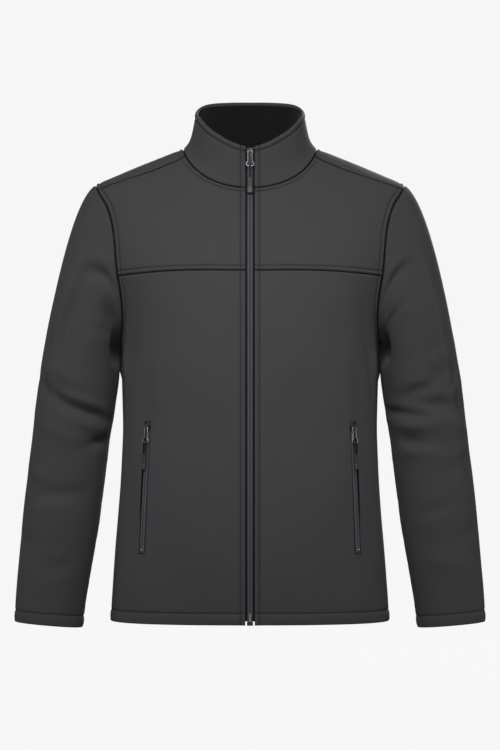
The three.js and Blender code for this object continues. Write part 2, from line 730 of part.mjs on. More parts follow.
// The grip is moulded: slim where the cord goes in, wider and thicker at its foot.
function gripSolid(top, end, wide) {
  const long = top - end;
  const rows = [
    [0, 0.55, 0.6], [0.06, 0.78, 0.85], [0.3, 0.86, 0.92], [0.62, 0.9, 0.95], [0.68, 1, 1], [0.94, 1, 1], [1, 0.8, 0.75],
  ];
  const sections = rows.map(([t, w, d]) => {
    const a = (wide / 2) * w;
    const b = 1.75 * d;
    const corner = 0.62;
    return [
      [-a, -b * corner], [-a * 0.8, -b], [a * 0.8, -b], [a, -b * corner], [a, b * corner], [a * 0.8, b],
      [-a * 0.8, b], [-a, b * corner],
    ].map(([x, z]) => {
      const p = V(x, top - t * long, PIVOT + z);
      p.profile = new THREE.Vector2(x, z);
      return p;
    });
  });
  return toSolid(sweep(sections)).subtract(box(-1.7, 1.7, top - 4, top + 1, PIVOT - 1.4, PIVOT + 1.4));
}

// A flat-made solid set on the jacket: origin, and the ways across, up and out.
function placed(solid, base) {
  const { at, faces } = solid.at ? solid : fromSolid(solid);
  const out = [];
  for (let i = 0; i < at.length; i += 3) {
    const p = base.o
      .clone()
      .addScaledVector(base.x, at[i])
      .addScaledVector(base.y, at[i + 1])
      .addScaledVector(base.z, at[i + 2]);
    out.push(p.x, p.y, p.z);
  }
  return closed(out, [...faces]);
}

const frontBase = {
  o: frontPoint(["collar", 0.88], 0.001, 0),
  x: V(1, 0, 0),
};
frontBase.y = frontPoint(["collar", 0.97], 0.001, 0).sub(frontPoint(["collar", 0.7], 0.001, 0)).normalize();
frontBase.z = frontBase.x.clone().cross(frontBase.y).normalize();

// Each pull leans out a little from its slider, so that it hangs clear of the cloth below.
function hungFrom(base, foot) {
  const pivot = base.o.clone().addScaledVector(base.z, PIVOT);
  const y = pivot.clone().sub(foot).normalize();
  const x = y.clone().cross(base.z).normalize();
  const z = x.clone().cross(y).normalize();
  return { x, y, z, o: pivot.clone().addScaledVector(z, -PIVOT), pivot };
}

function pocketBase(side) {
  const o = pocketPoint(side, 10, 0, 0);
  const y = pocketPoint(side, 2, 0, 0).sub(pocketPoint(side, 34, 0, 0)).normalize();
  const x = pocketPoint(side, 10, 5 * side, 0).sub(pocketPoint(side, 10, -5 * side, 0)).normalize();
  const z = x.clone().cross(y).normalize();
  return { o, x: y.clone().cross(z), y, z };
}
const bases = { front: frontBase, left: pocketBase(1), right: pocketBase(-1) };
const pulls = {
  front: hungFrom(frontBase, frontPoint(["body", -71], 0.001, -PIVOT - 1)),
  left: hungFrom(bases.left, pocketPoint(1, 55, 0, -PIVOT - 0.7)),
  right: hungFrom(bases.right, pocketPoint(-1, 55, 0, -PIVOT - 0.7)),
};

function pocketZip(side) {
  const strip = toSolid(
    swept(STRIP, [-1, ...pocketStations], (s, x, d) => pocketPoint(side, s, x, d)),
  );
  const base = bases[side > 0 ? "left" : "right"];
  const post = toSolid(placed(box(-1.4, 1.4, 2.2, 9, -6.5, 1), base));
  const trim = (from, to, near, far) =>
    toSolid(
      swept([[-5, near], [5, near], [5, far], [-5, far]], [from, to], (s, x, d) => pocketPoint(side, s, x, d)),
    );
  const end = POCKET_LONG - 4;
  return fromSolid(
    Manifold.difference([
      strip, post, trim(-4, 8.4, -1, 2.9), trim(-4, 8.4, 3.5, 6), trim(end, end + 9, -1, 2.9), trim(end, end + 9, 3.5, 6),
    ]),
  );
}

const FABRIC = "#414143";
const root = new THREE.Group();
function add(name, data, color, rough = 0.9, metal = 0) {
  const geometry = new THREE.BufferGeometry();
  geometry.setAttribute("position", new THREE.Float32BufferAttribute(data.at, 3));
  geometry.setIndex(data.faces);
  const mesh = new THREE.Mesh(
    geometry,
    new THREE.MeshStandardMaterial({ color, roughness: rough, metalness: metal }),
  );
  mesh.name = name;
  root.add(mesh);
}

for (const [name, side] of [["left", 1], ["right", -1]]) {
  const lower = toSolid(frontLower(side)).subtract(pocketCutter(side));
  add("front_lower_" + name, fromSolid(lower), FABRIC);
  add("front_yoke_" + name, yoke(side), "#48484b");
  add("sleeve_" + name, sleeve(side), "#363637");
  add("front_zip_" + name, frontZip(side), "#2a2a2e", 0.7);
  add("pocket_zip_" + name, pocketZip(side), "#2a2a2e", 0.7);
}
add("back", back(), FABRIC);
add("collar", collar(), "#48484b");
add("collar_facing", collarFacing(), "#1b1b1b", 1);
add(
  "front_zip_box",
  swept([[-4.6, 0.4], [4.6, 0.4], [4.6, 4.9], [-4.6, 4.9]], [["body", -728.4], ["body", -722.4]], frontPoint),
  "#202022",
  0.5,
);
for (const [name, base] of Object.entries(bases)) {
  const short = name === "front" ? "front" : "pocket";
  const tail = name === "front" ? "" : "_" + name;
  const grip = name === "front" ? [-35.5, -60.5, 8.9] : [-28.5, -44.5, 7.4];
  const hung = pulls[name];
  add(short + "_slider" + tail, placed(sliderSolid(), base), "#3a3a3c", 0.4, 0.8);
  add(short + "_pull_frame" + tail, placed(wireLoop(FRAME_LINE, 0.72), hung), "#8a8a8c", 0.35, 0.9);
  add(short + "_pull_cord" + tail, placed(cordSolid(3.4 - 21.2 - grip[0]), hung), "#29292b", 0.9);
  add(short + "_pull_grip" + tail, placed(gripSolid(...grip), hung), "#303032", 0.6);
}

export default root;
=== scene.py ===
"""Softshell jacket, standing hollow as if worn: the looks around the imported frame.

The shapes are worked out in millimetres and written into the meshes in metres, in the frame's own axes:
+Z up, the front faces -Y, the wearer's left is +X, the origin is the middle of the neck hole.
"""

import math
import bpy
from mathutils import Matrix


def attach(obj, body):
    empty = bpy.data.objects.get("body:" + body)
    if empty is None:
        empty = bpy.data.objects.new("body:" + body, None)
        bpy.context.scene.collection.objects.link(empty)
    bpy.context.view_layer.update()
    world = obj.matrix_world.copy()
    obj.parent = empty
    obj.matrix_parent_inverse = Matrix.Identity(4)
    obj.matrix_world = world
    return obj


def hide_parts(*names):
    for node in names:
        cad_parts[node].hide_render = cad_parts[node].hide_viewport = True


bl_info = {
    "name": "Softshell Jacket",
    "version": (1, 0, 0),
    "blender": (4, 5, 0),
    "location": "View3D > Sidebar > Jacket",
    "description": "Builds the cloth, sewing, zips and pulls of a softshell jacket around its packed frame",
    "category": "Add Mesh",
}

import bmesh
import bpy
import mathutils
import numpy as np

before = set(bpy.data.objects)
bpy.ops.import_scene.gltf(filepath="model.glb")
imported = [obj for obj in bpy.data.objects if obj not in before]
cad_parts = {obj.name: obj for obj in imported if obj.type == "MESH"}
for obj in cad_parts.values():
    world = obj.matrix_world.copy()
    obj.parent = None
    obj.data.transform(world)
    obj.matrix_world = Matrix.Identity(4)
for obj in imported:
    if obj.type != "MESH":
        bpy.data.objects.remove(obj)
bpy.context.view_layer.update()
MM = 0.001

# Driving sizes of the cut, as in the part's source, in millimetres
CLOTH = 2.0
SEAM = 0.35
HEM = -728.0
HEM_FOLD = 18.0
CHEST = -189.0
SIDE_TOP = -297.0
EDGE = 7.1
ARMHOLE_PSI = 21.5
ARMHOLE_MIDDLE = -176.0
ARMHOLE_TALL = 121.0
TAU_CHEST = 100.5
TAU_SHOULDER = 22.0
LIP = 0.925
LIP_THICK = 4.3
HEM_THICK = 3.2
PIVOT = 1.75
SLOT = 6.1
POCKET_TOP = (157.0, -419.0)
POCKET_END = (165.9, -622.0)
POCKET_LONG = math.hypot(POCKET_END[0] - POCKET_TOP[0], POCKET_END[1] - POCKET_TOP[1])

SIDES = ((1, "left"), (-1, "right"))
PANELS = {}


def mix(a, b, t):
    """a at t 0, b at t 1, on a straight line."""
    return a + (b - a) * t


def bump(x):
    """A bell: one at the middle, falling as the exponential of minus the square."""
    return np.exp(-x * x)


def one(value):
    """A single number as an array of one."""
    return np.array([float(value)])


def unit(v):
    """Each vector divided by its own length."""
    return v / np.maximum(np.linalg.norm(v, axis=-1, keepdims=True), 1e-12)


class Curve:
    """A smooth curve through rows of (place, value). Between two rows it is the cubic that has their values
    and slopes, and each row's slope is that of the parabola through it and its two neighbours."""

    def __init__(self, places, values):
        self.x = np.asarray(places, float)
        self.y = np.asarray(values, float)
        gap = np.diff(self.x).reshape((-1,) + (1,) * (self.y.ndim - 1))
        rise = np.diff(self.y, axis=0) / gap
        inner = (rise[:-1] * gap[1:] + rise[1:] * gap[:-1]) / (gap[:-1] + gap[1:])
        self.slope = np.concatenate([rise[:1], inner, rise[-1:]])

    def __call__(self, at):
        at = np.clip(np.asarray(at, float), self.x[0], self.x[-1])
        i = np.clip(np.searchsorted(self.x, at, side="left") - 1, 0, len(self.x) - 2)
        extra = (1,) * (self.y.ndim - 1)
        h = (self.x[i + 1] - self.x[i]).reshape(at.shape + extra)
        t = (at - self.x[i]).reshape(at.shape + extra) / h
        return (
            self.y[i] * (1 + 2 * t) * (1 - t) ** 2
            + self.slope[i] * h * t * (1 - t) ** 2
            + self.y[i + 1] * t * t * (3 - 2 * t)
            + self.slope[i + 1] * h * t * t * (t - 1)
        )


def table(*rows):
    """The smooth curve through rows of (place, value)."""
    return Curve([row[0] for row in rows], [row[1] for row in rows])


# The body: half-width, depth in front and behind, and how square its level sections are, by height
half_width = table(
    (-736, 216.5), (-666, 211.6), (-617, 207.7), (-567, 203), (-518, 199.2), (-468, 197), (-434, 196.1),
    (-394, 197), (-356, 198.2), (-300, 198.3), (-268, 201), (-228, 214), (-183, 236), (-129, 255), (-90, 262),
    (-70, 257), (-57.4, 242.5), (-52.7, 234.5), (-48.1, 225), (-43.4, 213.7), (-38.8, 202.9), (-34.1, 192),
    (-29.5, 181), (-24.8, 169.9), (-20.2, 158.4), (-15.5, 146.9), (-10.9, 135.3), (-6.2, 123.4), (-1.6, 110.8),
    (1, 104), (5, 93), (10, 80), (20, 62),
)
depth_front = table(
    (-736, 123), (-600, 127), (-450, 132), (-300, 140), (-228, 138), (-183, 132), (-129, 114), (-90, 97),
    (-63, 86), (-45, 73), (-28, 60), (-10, 45), (0, 38), (10, 34), (20, 32),
)
depth_back = table(
    (-736, 120), (-600, 112), (-430, 108), (-300, 122), (-180, 130), (-120, 125), (-60, 110), (-25, 96),
    (0, 83), (10, 78), (20, 74),
)
squareness = table((-736, 2.5), (-300, 2.5), (-176, 2.4), (-90, 2.25), (-60, 2.1), (-28, 2), (20, 2))
shoulder_psi = table((-64, 82.2), (-45, 77.4), (-28.7, 73.8), (-18, 72.6), (-6, 72.4))
chest_z = table((0, -189.5), (10, -189.8), (25, -189.3), (45, -190.4), (72, -198.2))


def super_radius(angle, wide, deep, power):
    """The radius of a rounded rectangle at an angle: the sum of |sin/wide| and |cos/deep|, each to the power,
    brought to minus one over the power."""
    across = (np.abs(np.sin(angle)) / wide) ** power
    along = (np.abs(np.cos(angle)) / deep) ** power
    return (across + along) ** (-1 / power)


def form(psi, z):
    """The body without folds: psi in degrees runs from the centre front (0) round the wearer's left (90)."""
    angle = np.radians(psi)
    deep = np.where(np.cos(angle) > 0, depth_front(z), depth_back(z))
    r = super_radius(angle, half_width(z), deep, squareness(z))
    return np.stack([r * np.sin(angle), -r * np.cos(angle), z + 0 * r], -1)


def form_normal(psi, z):
    """The way out of the body: the cross product of its slopes round and up."""
    across = form(psi + 0.4, z) - form(psi - 0.4, z)
    up = form(psi, z + 0.8) - form(psi, z - 0.8)
    return unit(np.cross(across, up))


# Soft folds of the body: psi, height, wide (degrees), tall (mm), lean (degrees per mm), rise (mm)
BODY_FOLDS = (
    (62, -380, 7, 75, -0.03, -3), (55, -360, 6, 80, -0.03, 1.8), (-60, -395, 7, 80, 0.035, -3.4),
    (-52, -370, 6, 85, 0.03, 2), (33, -300, 12, 70, 0.12, 2.2), (-36, -320, 12, 85, -0.1, 2.4),
    (78, -520, 7, 110, 0.012, 2), (-80, -560, 8, 120, -0.01, 2.2), (118, -400, 8, 120, 0.04, -4),
    (-121, -430, 9, 110, -0.035, -4.4), (140, -330, 10, 80, 0.06, 3), (-143, -350, 11, 90, -0.05, 3.2),
    (160, -560, 10, 130, 0.01, -2.6), (-165, -600, 11, 120, -0.02, -2.8), (128, -180, 9, 60, 0.05, 2.4),
    (-130, -170, 9, 65, -0.05, 2.6),
)

# Finer creases of the body, in the same terms, for the looks alone
BODY_CREASES = (
    (66, -62, 5, 9, -0.3, -1.3), (62, -70, 4, 8, -0.3, 1.1), (-66, -60, 5, 9, 0.32, -1.4),
    (-60, -72, 4, 9, 0.3, 1.2), (-69, -340, 2.0, 44, 0.09, -3.2), (-74, -328, 2.0, 26, 0.02, 3.0),
    (70, -345, 2.0, 46, -0.08, -3.0),
    (75, -332, 2.1, 28, -0.02, 2.8), (99, -322, 4.5, 33, 0, 8.5), (-99, -320, 4.5, 33, 0, 8.5),
    (22, -150, 9, 24, 0.5, -1.6), (30, -132, 9, 24, 0.5, 1.3), (-26, -140, 9, 26, -0.45, -1.7),
    (-33, -124, 9, 24, -0.45, 1.3), (44, -112, 9, 22, 0.4, -1.3), (-48, -104, 9, 22, -0.4, -1.3),
    (62, -240, 6, 40, -0.12, -2.0), (56, -250, 6, 44, -0.12, 1.6), (-62, -236, 6, 42, 0.12, -2.2),
    (-56, -252, 6, 44, 0.12, 1.7), (28, -420, 8, 60, 0.1, -2.0), (36, -410, 8, 60, 0.1, 1.6),
    (-24, -450, 8, 70, -0.08, -2.0), (-33, -440, 8, 64, -0.08, 1.6), (48, -520, 7, 60, 0.06, 1.7),
    (-44, -540, 7, 66, -0.05, 1.8), (20, -620, 7, 60, -0.04, 1.6), (-30, -640, 8, 55, 0.05, 1.6),
    (60, -690, 6, 40, 0.03, 1.7), (-62, -680, 6, 42, -0.03, 1.8), (66, -610, 5, 50, 0.02, -1.8),
    (-67, -600, 5, 54, -0.02, -1.9), (100, -250, 5, 40, 0.12, -1.8), (-102, -240, 5, 42, -0.12, -1.9),
    (108, -300, 5, 50, 0.1, 2.0), (-110, -310, 5, 54, -0.1, 2.1), (112, -560, 7, 80, 0.02, 2.1),
    (-110, -590, 7, 80, -0.02, 2.2), (170, -250, 10, 60, 0.03, -2.0), (-172, -130, 12, 30, 0.1, -1.8),
    (150, -470, 8, 90, 0.03, 2.2), (-152, -490, 8, 84, -0.03, 2.3), (134, -660, 8, 60, 0.02, -2.1),
    (-138, -640, 8, 64, -0.02, -2.2), (176, -400, 9, 90, 0.02, 1.9),
)


def folds_of(rows, psi, z):
    """The sum of leaning bells: each row's rise, times a bell across it and a bell along it."""
    around = np.where(psi > 180, psi - 360, psi)
    total = 0 * (psi + z)
    for at, height, wide, tall, lean, rise in rows:
        dz = z - height
        total = total + rise * bump((around - at - lean * dz) / wide) * bump(dz / tall)
    return total


def body(psi, z):
    """A point of the solids' outer face: the form moved out along its normal by the soft folds."""
    return form(psi, z) + form_normal(psi, z) * folds_of(BODY_FOLDS, psi, z)[..., None]


def neck_radius(psi):
    """The plan of the neck: a rounded oval, deeper in front."""
    angle = np.radians(psi)
    return super_radius(angle, 104, np.where(np.cos(angle) > 0, 86, 78), 2.3)


def neck_height(psi):
    """Where an upright tube of the neck's plan meets the body, found by halving."""
    psi = np.asarray(psi, float)
    wanted = neck_radius(psi)
    low = np.full(psi.shape, -90.0)
    high = np.full(psi.shape, 18.0)
    for _ in range(40):
        middle = (low + high) / 2
        p = form(psi, middle)
        outside = np.hypot(p[..., 0], p[..., 1]) > wanted
        low = np.where(outside, middle, low)
        high = np.where(outside, high, middle)
    return low


def armhole(tau):
    """The armhole as psi and height; tau in degrees is 0 at the top, 90 in front and 180 under the arm."""
    angle = np.radians(tau)
    return 90 - ARMHOLE_PSI * np.sin(angle), ARMHOLE_MIDDLE + ARMHOLE_TALL * np.cos(angle)


NECK_SIDE = 72.5
for _ in range(20):
    NECK_SIDE = float(shoulder_psi(neck_height(NECK_SIDE)))
NECK_SIDE_Z = float(neck_height(NECK_SIDE))
SHOULDER_END = armhole(TAU_SHOULDER)
SHOULDER_SHIFT = SHOULDER_END[0] - float(shoulder_psi(SHOULDER_END[1]))


def shoulder_seam(t):
    """The shoulder seam as psi and height, from the neck (0) to the armhole (1)."""
    z = mix(NECK_SIDE_Z, SHOULDER_END[1], t**0.85)
    share = (z - NECK_SIDE_Z) / (SHOULDER_END[1] - NECK_SIDE_Z)
    return shoulder_psi(z) + SHOULDER_SHIFT * share, z


def psi_at(x, z):
    """The psi at which a point of the body is x millimetres from the centre front."""
    psi = x / depth_front(z) * 57.3
    for _ in range(6):
        psi = psi * x / form(psi, z)[..., 0]
    return psi


NECK_START = float(psi_at(EDGE, neck_height(4.0)))
NECK_FRONT_Z = float(neck_height(0.0))


def lower_front_place(u, v):
    """The lower front as psi and height: u from the zip's edge to the side seam, v from the hem to the
    chest seam. Below the underarm its rows are level; above it each row bends from the armhole to the chest
    seam's line."""
    side_share = (SIDE_TOP - HEM) / (CHEST - HEM)
    level = v <= side_share
    tau = mix(180, TAU_CHEST, np.clip((v - side_share) / (1 - side_share), 0, 1))
    psi_end, z_end = armhole(tau)
    psi_end = np.where(level, 90, psi_end)
    share = (180 - tau) / (180 - TAU_CHEST)
    flat_z = mix(HEM, SIDE_TOP, np.clip(v / side_share, 0, 1))

    def height(psi):
        return np.where(level, flat_z, z_end + share * (chest_z(psi) - chest_z(psi_end)))

    psi = 0 * (u + v)
    z = height(psi)
    for _ in range(4):
        psi = mix(psi_at(EDGE, z), psi_end, u)
        z = height(psi)
    return psi, z


def fade(u):
    """One at 0, nothing from a half on, level at both ends."""
    return np.where(u < 0.5, (1 - 2 * u) ** 2 * (1 + 4 * u), 0)


def patch(bottom, top, left, right, corners, u, v):
    """Between four sides: a straight mix of bottom and top, plus how far each side leaves its own straight
    line, fading out towards the middle. corners are the left bottom, left top, right bottom and right
    top."""
    places = []
    for k in range(2):
        straight_left = mix(corners[0][k], corners[1][k], v)
        straight_right = mix(corners[2][k], corners[3][k], v)
        places.append(
            mix(bottom[k], top[k], v)
            + fade(u) * (left[k] - straight_left)
            + fade(1 - u) * (right[k] - straight_right)
        )
    return places


NECK_SHARE = 6 / 11


def yoke_top(u):
    """The yoke's top side: the neck seam up to NECK_SHARE, then the shoulder seam."""
    t = np.clip(u / NECK_SHARE, 0, 1)
    neck_psi = mix(NECK_START, NECK_SIDE, t)
    seam_psi, seam_z = shoulder_seam(np.clip((u - NECK_SHARE) / (1 - NECK_SHARE), 0, 1))
    on_neck = u <= NECK_SHARE
    return np.where(on_neck, neck_psi, seam_psi), np.where(on_neck, neck_height(neck_psi), seam_z)


def yoke_bottom(u):
    """The chest seam as psi and height, from the zip's edge to the armhole."""
    psi_end, z_end = armhole(TAU_CHEST)
    psi = 0 * u
    z = chest_z(psi)
    for _ in range(4):
        psi = mix(psi_at(EDGE, z), psi_end, u)
        z = z_end + chest_z(psi) - chest_z(psi_end)
    return psi, z


def yoke_place(u, v):
    """The front yoke as psi and height: u from the zip's edge to the armhole, v from the chest seam up."""
    ends = np.array([0.0, 1.0])
    low_psi, low_z = yoke_bottom(ends)
    high_psi, high_z = yoke_top(ends)
    corners = []
    for end in (0, 1):
        corners += [(low_psi[end], low_z[end]), (high_psi[end], high_z[end])]
    left_z = mix(low_z[0], high_z[0], v)
    right = armhole(mix(TAU_CHEST, TAU_SHOULDER, v))
    return patch(yoke_bottom(u), yoke_top(u), (psi_at(EDGE, left_z), left_z), right, corners, u, v)


BACK_GUIDE_TAU = mix(180, 382, 8 / 14)
BACK_HUMP = 12
BACK_ROWS = ((SIDE_TOP - HEM) / 700, 0.8)


def back_top(u):
    """The back's top side, from one armhole to the other: shoulder seam, neck seam, shoulder seam."""
    half = np.where(u > 0.5, 1 - u, u)
    seam_psi, seam_z = shoulder_seam(1 - np.clip(half / BACK_NECK_SHARE, 0, 1))
    t = np.clip((half - BACK_NECK_SHARE) / (0.5 - BACK_NECK_SHARE), 0, 1)
    neck_psi = mix(NECK_SIDE, 180, t)
    on_seam = half <= BACK_NECK_SHARE
    psi = np.where(on_seam, seam_psi, neck_psi)
    z = np.where(on_seam, seam_z, neck_height(neck_psi))
    return np.where(u > 0.5, 360 - psi, psi), z


BACK_NECK_SHARE = 5 / 24


def back_place(u, v):
    """The back as psi and height: level rows to the underarm, then rows with a low hump between the armholes,
    then a patch up to the shoulder and neck seams. v is shared out as BACK_ROWS says."""
    low, guide = BACK_ROWS
    tau = mix(180, BACK_GUIDE_TAU, np.clip((v - low) / (guide - low), 0, 1))
    rise = (tau - 180) / (BACK_GUIDE_TAU - 180)
    edge_psi, edge_z = armhole(tau)
    edge_z = np.where(v <= low, mix(HEM, SIDE_TOP, np.clip(v / low, 0, 1)), edge_z)
    psi = mix(edge_psi, 360 - edge_psi, u)
    z = edge_z + BACK_HUMP * rise * 4 * u * (1 - u)
    w = np.clip((v - guide) / (1 - guide), 0, 1)
    side = armhole(mix(BACK_GUIDE_TAU, 360 + TAU_SHOULDER, w))
    guide_psi, guide_z = armhole(BACK_GUIDE_TAU)
    bottom = (mix(guide_psi, 360 - guide_psi, u), guide_z + BACK_HUMP * 4 * u * (1 - u))
    top = back_top(u)
    end_psi, end_z = back_top(np.array([0.0, 1.0]))
    left = [(guide_psi, guide_z), (end_psi[0], end_z[0])]
    right = [(360 - guide_psi, guide_z), (end_psi[1], end_z[1])]
    upper = patch(bottom, top, side, (360 - side[0], side[1]), left + right, u, w)
    return np.where(v > guide, upper[0], psi), np.where(v > guide, upper[1], z)


# The sleeve below the upper arm: an outer and an inner line, its half-depth and how far its middle swings
sleeve_outer = table(
    (-735, 362.4), (-698, 361.3), (-636, 356.7), (-574, 352), (-512, 345.8), (-450, 338), (-388, 331),
    (-344, 324.9), (-319, 320.6), (-290, 315),
)
sleeve_inner = table(
    (-740, 258), (-729, 256.7), (-692, 252), (-654, 245.8), (-617, 239.6), (-580, 233.4), (-543, 228.8),
    (-506, 224), (-481, 221), (-444, 216.4), (-419, 211.7), (-388, 207), (-357, 202.9), (-341, 201.6),
    (-320, 200),
)
sleeve_depth = table((0, 66), (0.25, 62), (0.5, 56), (0.75, 47), (1, 37))
sleeve_middle = table((0, 0), (0.3, 2), (0.6, -8), (0.85, -24), (1, -34))


def ring(tau, w):
    """A ring of the arm, w 0 (upper arm) to 1 (cuff): a rounded oval from the inner to the outer line."""
    outer_z = mix(-319, HEM, w)
    inner_z = outer_z - mix(22, 9, w**0.7)
    angle = np.radians(tau)
    cos = np.sign(np.cos(angle)) * np.abs(np.cos(angle)) ** (2 / 2.2)
    sin = np.sign(np.sin(angle)) * np.abs(np.sin(angle)) ** (2 / 2.2)
    x_out = sleeve_outer(outer_z)
    x_in = sleeve_inner(inner_z)
    x = (x_out + x_in) / 2 + (x_out - x_in) * cos / 2
    z = (outer_z + inner_z) / 2 + (outer_z - inner_z) * cos / 2
    y = sleeve_middle(w) - sleeve_depth(w) * sin
    return np.stack(np.broadcast_arrays(x, y, z), -1)


def cap(tau, s):
    """The sleeve's cap: a cubic that leaves the armhole (s 0) as the shoulder falls, to the arm (1)."""
    angle = np.radians(tau)
    normal = form_normal(*armhole(tau))
    psi = 90 - (ARMHOLE_PSI - 0.3) * np.sin(angle)
    a = body(psi, ARMHOLE_MIDDLE + (ARMHOLE_TALL - SEAM) * np.cos(angle)) + normal * SEAM
    c, sn, c2 = np.cos(angle), np.sin(angle), np.cos(2 * angle)
    way_x = 0.5 + 0.38 * c - 0.02 * c2
    way_y = 0.015 + 0.15 * sn - 0.015 * c2
    way_z = -0.794 + 0.2425 * c + 0.005 * sn + 0.041 * c2
    way = np.stack([way_x, way_y, way_z], -1)
    way = unit(way + normal * (0.6 * np.maximum(0, -c) ** 0.8)[..., None])
    d = ring(tau, 0 * angle)
    end = unit(ring(tau, 0 * angle + 0.03) - d)
    far = np.linalg.norm(d - a, axis=-1)
    b = a + way * (far * np.where(c > 0, 0.2 - 0.07 * c * c, 0.2 + 0.22 * c * c))[..., None]
    e = d - end * (0.46 * far)[..., None]
    t = s[..., None]
    return a * (1 - t) ** 3 + b * 3 * t * (1 - t) ** 2 + e * 3 * t * t * (1 - t) + d * t**3


def sleeve_form(tau, s):
    """The left sleeve without folds: s 0 to 1 is the cap, 1 to 2 the arm."""
    tau, s = np.broadcast_arrays(np.asarray(tau, float), np.asarray(s, float))
    return np.where((s >= 1)[..., None], ring(tau, np.clip(s - 1, 0, 1)), cap(tau, np.clip(s, 0, 1)))


def sleeve_normal(tau, s):
    """The way out of the sleeve: the cross product of its slopes round and along."""
    tau, s = np.broadcast_arrays(np.asarray(tau, float), np.asarray(s, float))
    low = np.maximum(s - 0.01, 0)
    high = np.minimum(s + 0.01, 2)
    along = sleeve_form(tau, high) - sleeve_form(tau, low)
    around = sleeve_form(tau + 1, s) - sleeve_form(tau - 1, s)
    return unit(np.cross(around, along))


# Soft folds of each sleeve: tau, s, wide (degrees), tall (in s), lean (degrees per tall), rise (mm)
SLEEVE_FOLDS = {
    -1: (
        (60, 1.14, 22, 0.045, 30, -7), (70, 1.055, 24, 0.05, 25, 3.2), (62, 1.26, 26, 0.05, 28, 3.4),
        (30, 0.78, 16, 0.22, -10, 3), (66, 0.7, 18, 0.25, -14, -2.6), (130, 1.3, 22, 0.04, -20, -3),
        (58, 1.5, 40, 0.06, 20, -2.4), (80, 1.62, 36, 0.06, -15, 1.8), (285, 1.12, 30, 0.05, -24, -5),
        (270, 1.3, 32, 0.06, 20, 3), (250, 0.75, 22, 0.2, 16, -3.4), (290, 1.62, 34, 0.07, -18, -2.4),
        (60, 1.83, 40, 0.06, 12, 1.5),
    ),
    1: (
        (66, 0.93, 24, 0.04, 34, -3.6), (62, 0.99, 22, 0.035, 34, 2.6), (70, 1.06, 26, 0.035, 30, -3.4),
        (64, 1.13, 28, 0.035, 30, 3), (84, 1.16, 28, 0.045, -30, -6.6), (60, 1.24, 24, 0.05, -26, 3),
        (96, 1.3, 26, 0.045, -20, -3.2), (70, 1.42, 34, 0.06, 18, -2.4), (84, 1.6, 36, 0.07, -14, 1.8),
        (290, 1.16, 30, 0.05, 24, -5), (266, 1.33, 30, 0.06, -20, 3), (255, 0.72, 22, 0.2, -16, -3.2),
        (285, 1.55, 34, 0.07, 18, -2.6), (66, 1.8, 40, 0.06, -12, 1.5),
    ),
}

# Finer creases of each sleeve, in the same terms, for the looks alone
SLEEVE_CREASES = {
    -1: (
        (88, 0.26, 8, 0.19, -21, -6.5), (74, 0.28, 8, 0.2, -20, 2.6), (118, 0.36, 15, 0.2, -12, -6.5),
        (112, 0.62, 9, 0.12, -12, -2.4), (160, 0.46, 21, 0.42, 2, -13), (104, 0.72, 9, 0.2, -6, 2.0),
        (50, 0.95, 9, 0.5, 2, 2.6), (68, 0.92, 9, 0.45, 2, -2.4), (36, 1.0, 8, 0.45, 2, -1.8),
        (112, 1.185, 26, 0.022, 26, -5.0), (102, 1.14, 26, 0.022, 24, 3.6), (118, 1.235, 24, 0.026, 18, 3.0),
        (140, 1.29, 18, 0.022, -8, -3.2), (46, 1.44, 20, 0.03, 10, 2.0), (92, 1.5, 26, 0.03, -14, -2.4),
        (70, 1.56, 26, 0.03, -14, 2.0), (40, 1.7, 24, 0.035, 10, -2.0), (92, 1.78, 22, 0.035, -10, -2.0),
        (48, 0.75, 8, 0.28, -6, 3.0), (60, 0.8, 8, 0.26, -6, -2.0), (203, 0.55, 20, 0.34, 0, 6.5),
        (250, 0.9, 18, 0.05, 20, -2.6), (300, 1.22, 20, 0.03, 16, 2.2), (256, 1.46, 24, 0.035, -14, -2.4),
        (310, 1.5, 22, 0.03, 12, 1.9), (260, 1.8, 26, 0.04, 10, 1.9), (225, 1.16, 16, 0.03, 18, -3.0),
    ),
    1: (
        (91, 0.24, 8, 0.15, -23, -6.0), (78, 0.26, 8, 0.16, -22, 2.4), (112, 0.43, 7, 0.1, -17, -5.0),
        (102, 0.5, 7, 0.12, -16, 2.2), (160, 0.46, 21, 0.42, -2, -13), (66, 0.93, 24, 0.04, 34, 1.6),
        (62, 0.99, 22, 0.035, 34, -1.2), (50, 1.0, 9, 0.5, -2, 2.8), (68, 1.0, 9, 0.45, -2, -2.6),
        (36, 1.0, 8, 0.45, -2, -1.8), (98, 1.105, 18, 0.018, 8, -3.6), (90, 1.065, 20, 0.018, 10, 2.2),
        (140, 1.175, 26, 0.02, -14, -4.6), (102, 1.2, 18, 0.02, -12, -3.6), (116, 1.235, 24, 0.02, -12, 3.2),
        (122, 1.295, 17, 0.024, -6, -4.2), (112, 1.335, 22, 0.024, -6, 2.6), (48, 1.1, 8, 0.05, 20, -2.4),
        (50, 1.36, 20, 0.03, 10, 1.8), (48, 1.66, 24, 0.035, 12, -2.0), (90, 1.76, 24, 0.035, -12, 1.9),
        (96, 1.56, 24, 0.03, 12, -2.2), (50, 0.7, 8, 0.28, 6, 2.8), (61, 0.75, 8, 0.26, 6, -2.0),
        (203, 0.55, 20, 0.34, 0, 6.5), (246, 0.88, 18, 0.05, -20, -2.6), (304, 1.26, 20, 0.03, -16, 2.2),
        (258, 1.5, 24, 0.035, 14, -2.4), (312, 1.44, 22, 0.03, -12, 1.9), (262, 1.76, 26, 0.04, -10, 1.9),
        (222, 1.18, 16, 0.03, -18, -3.0),
    ),
}


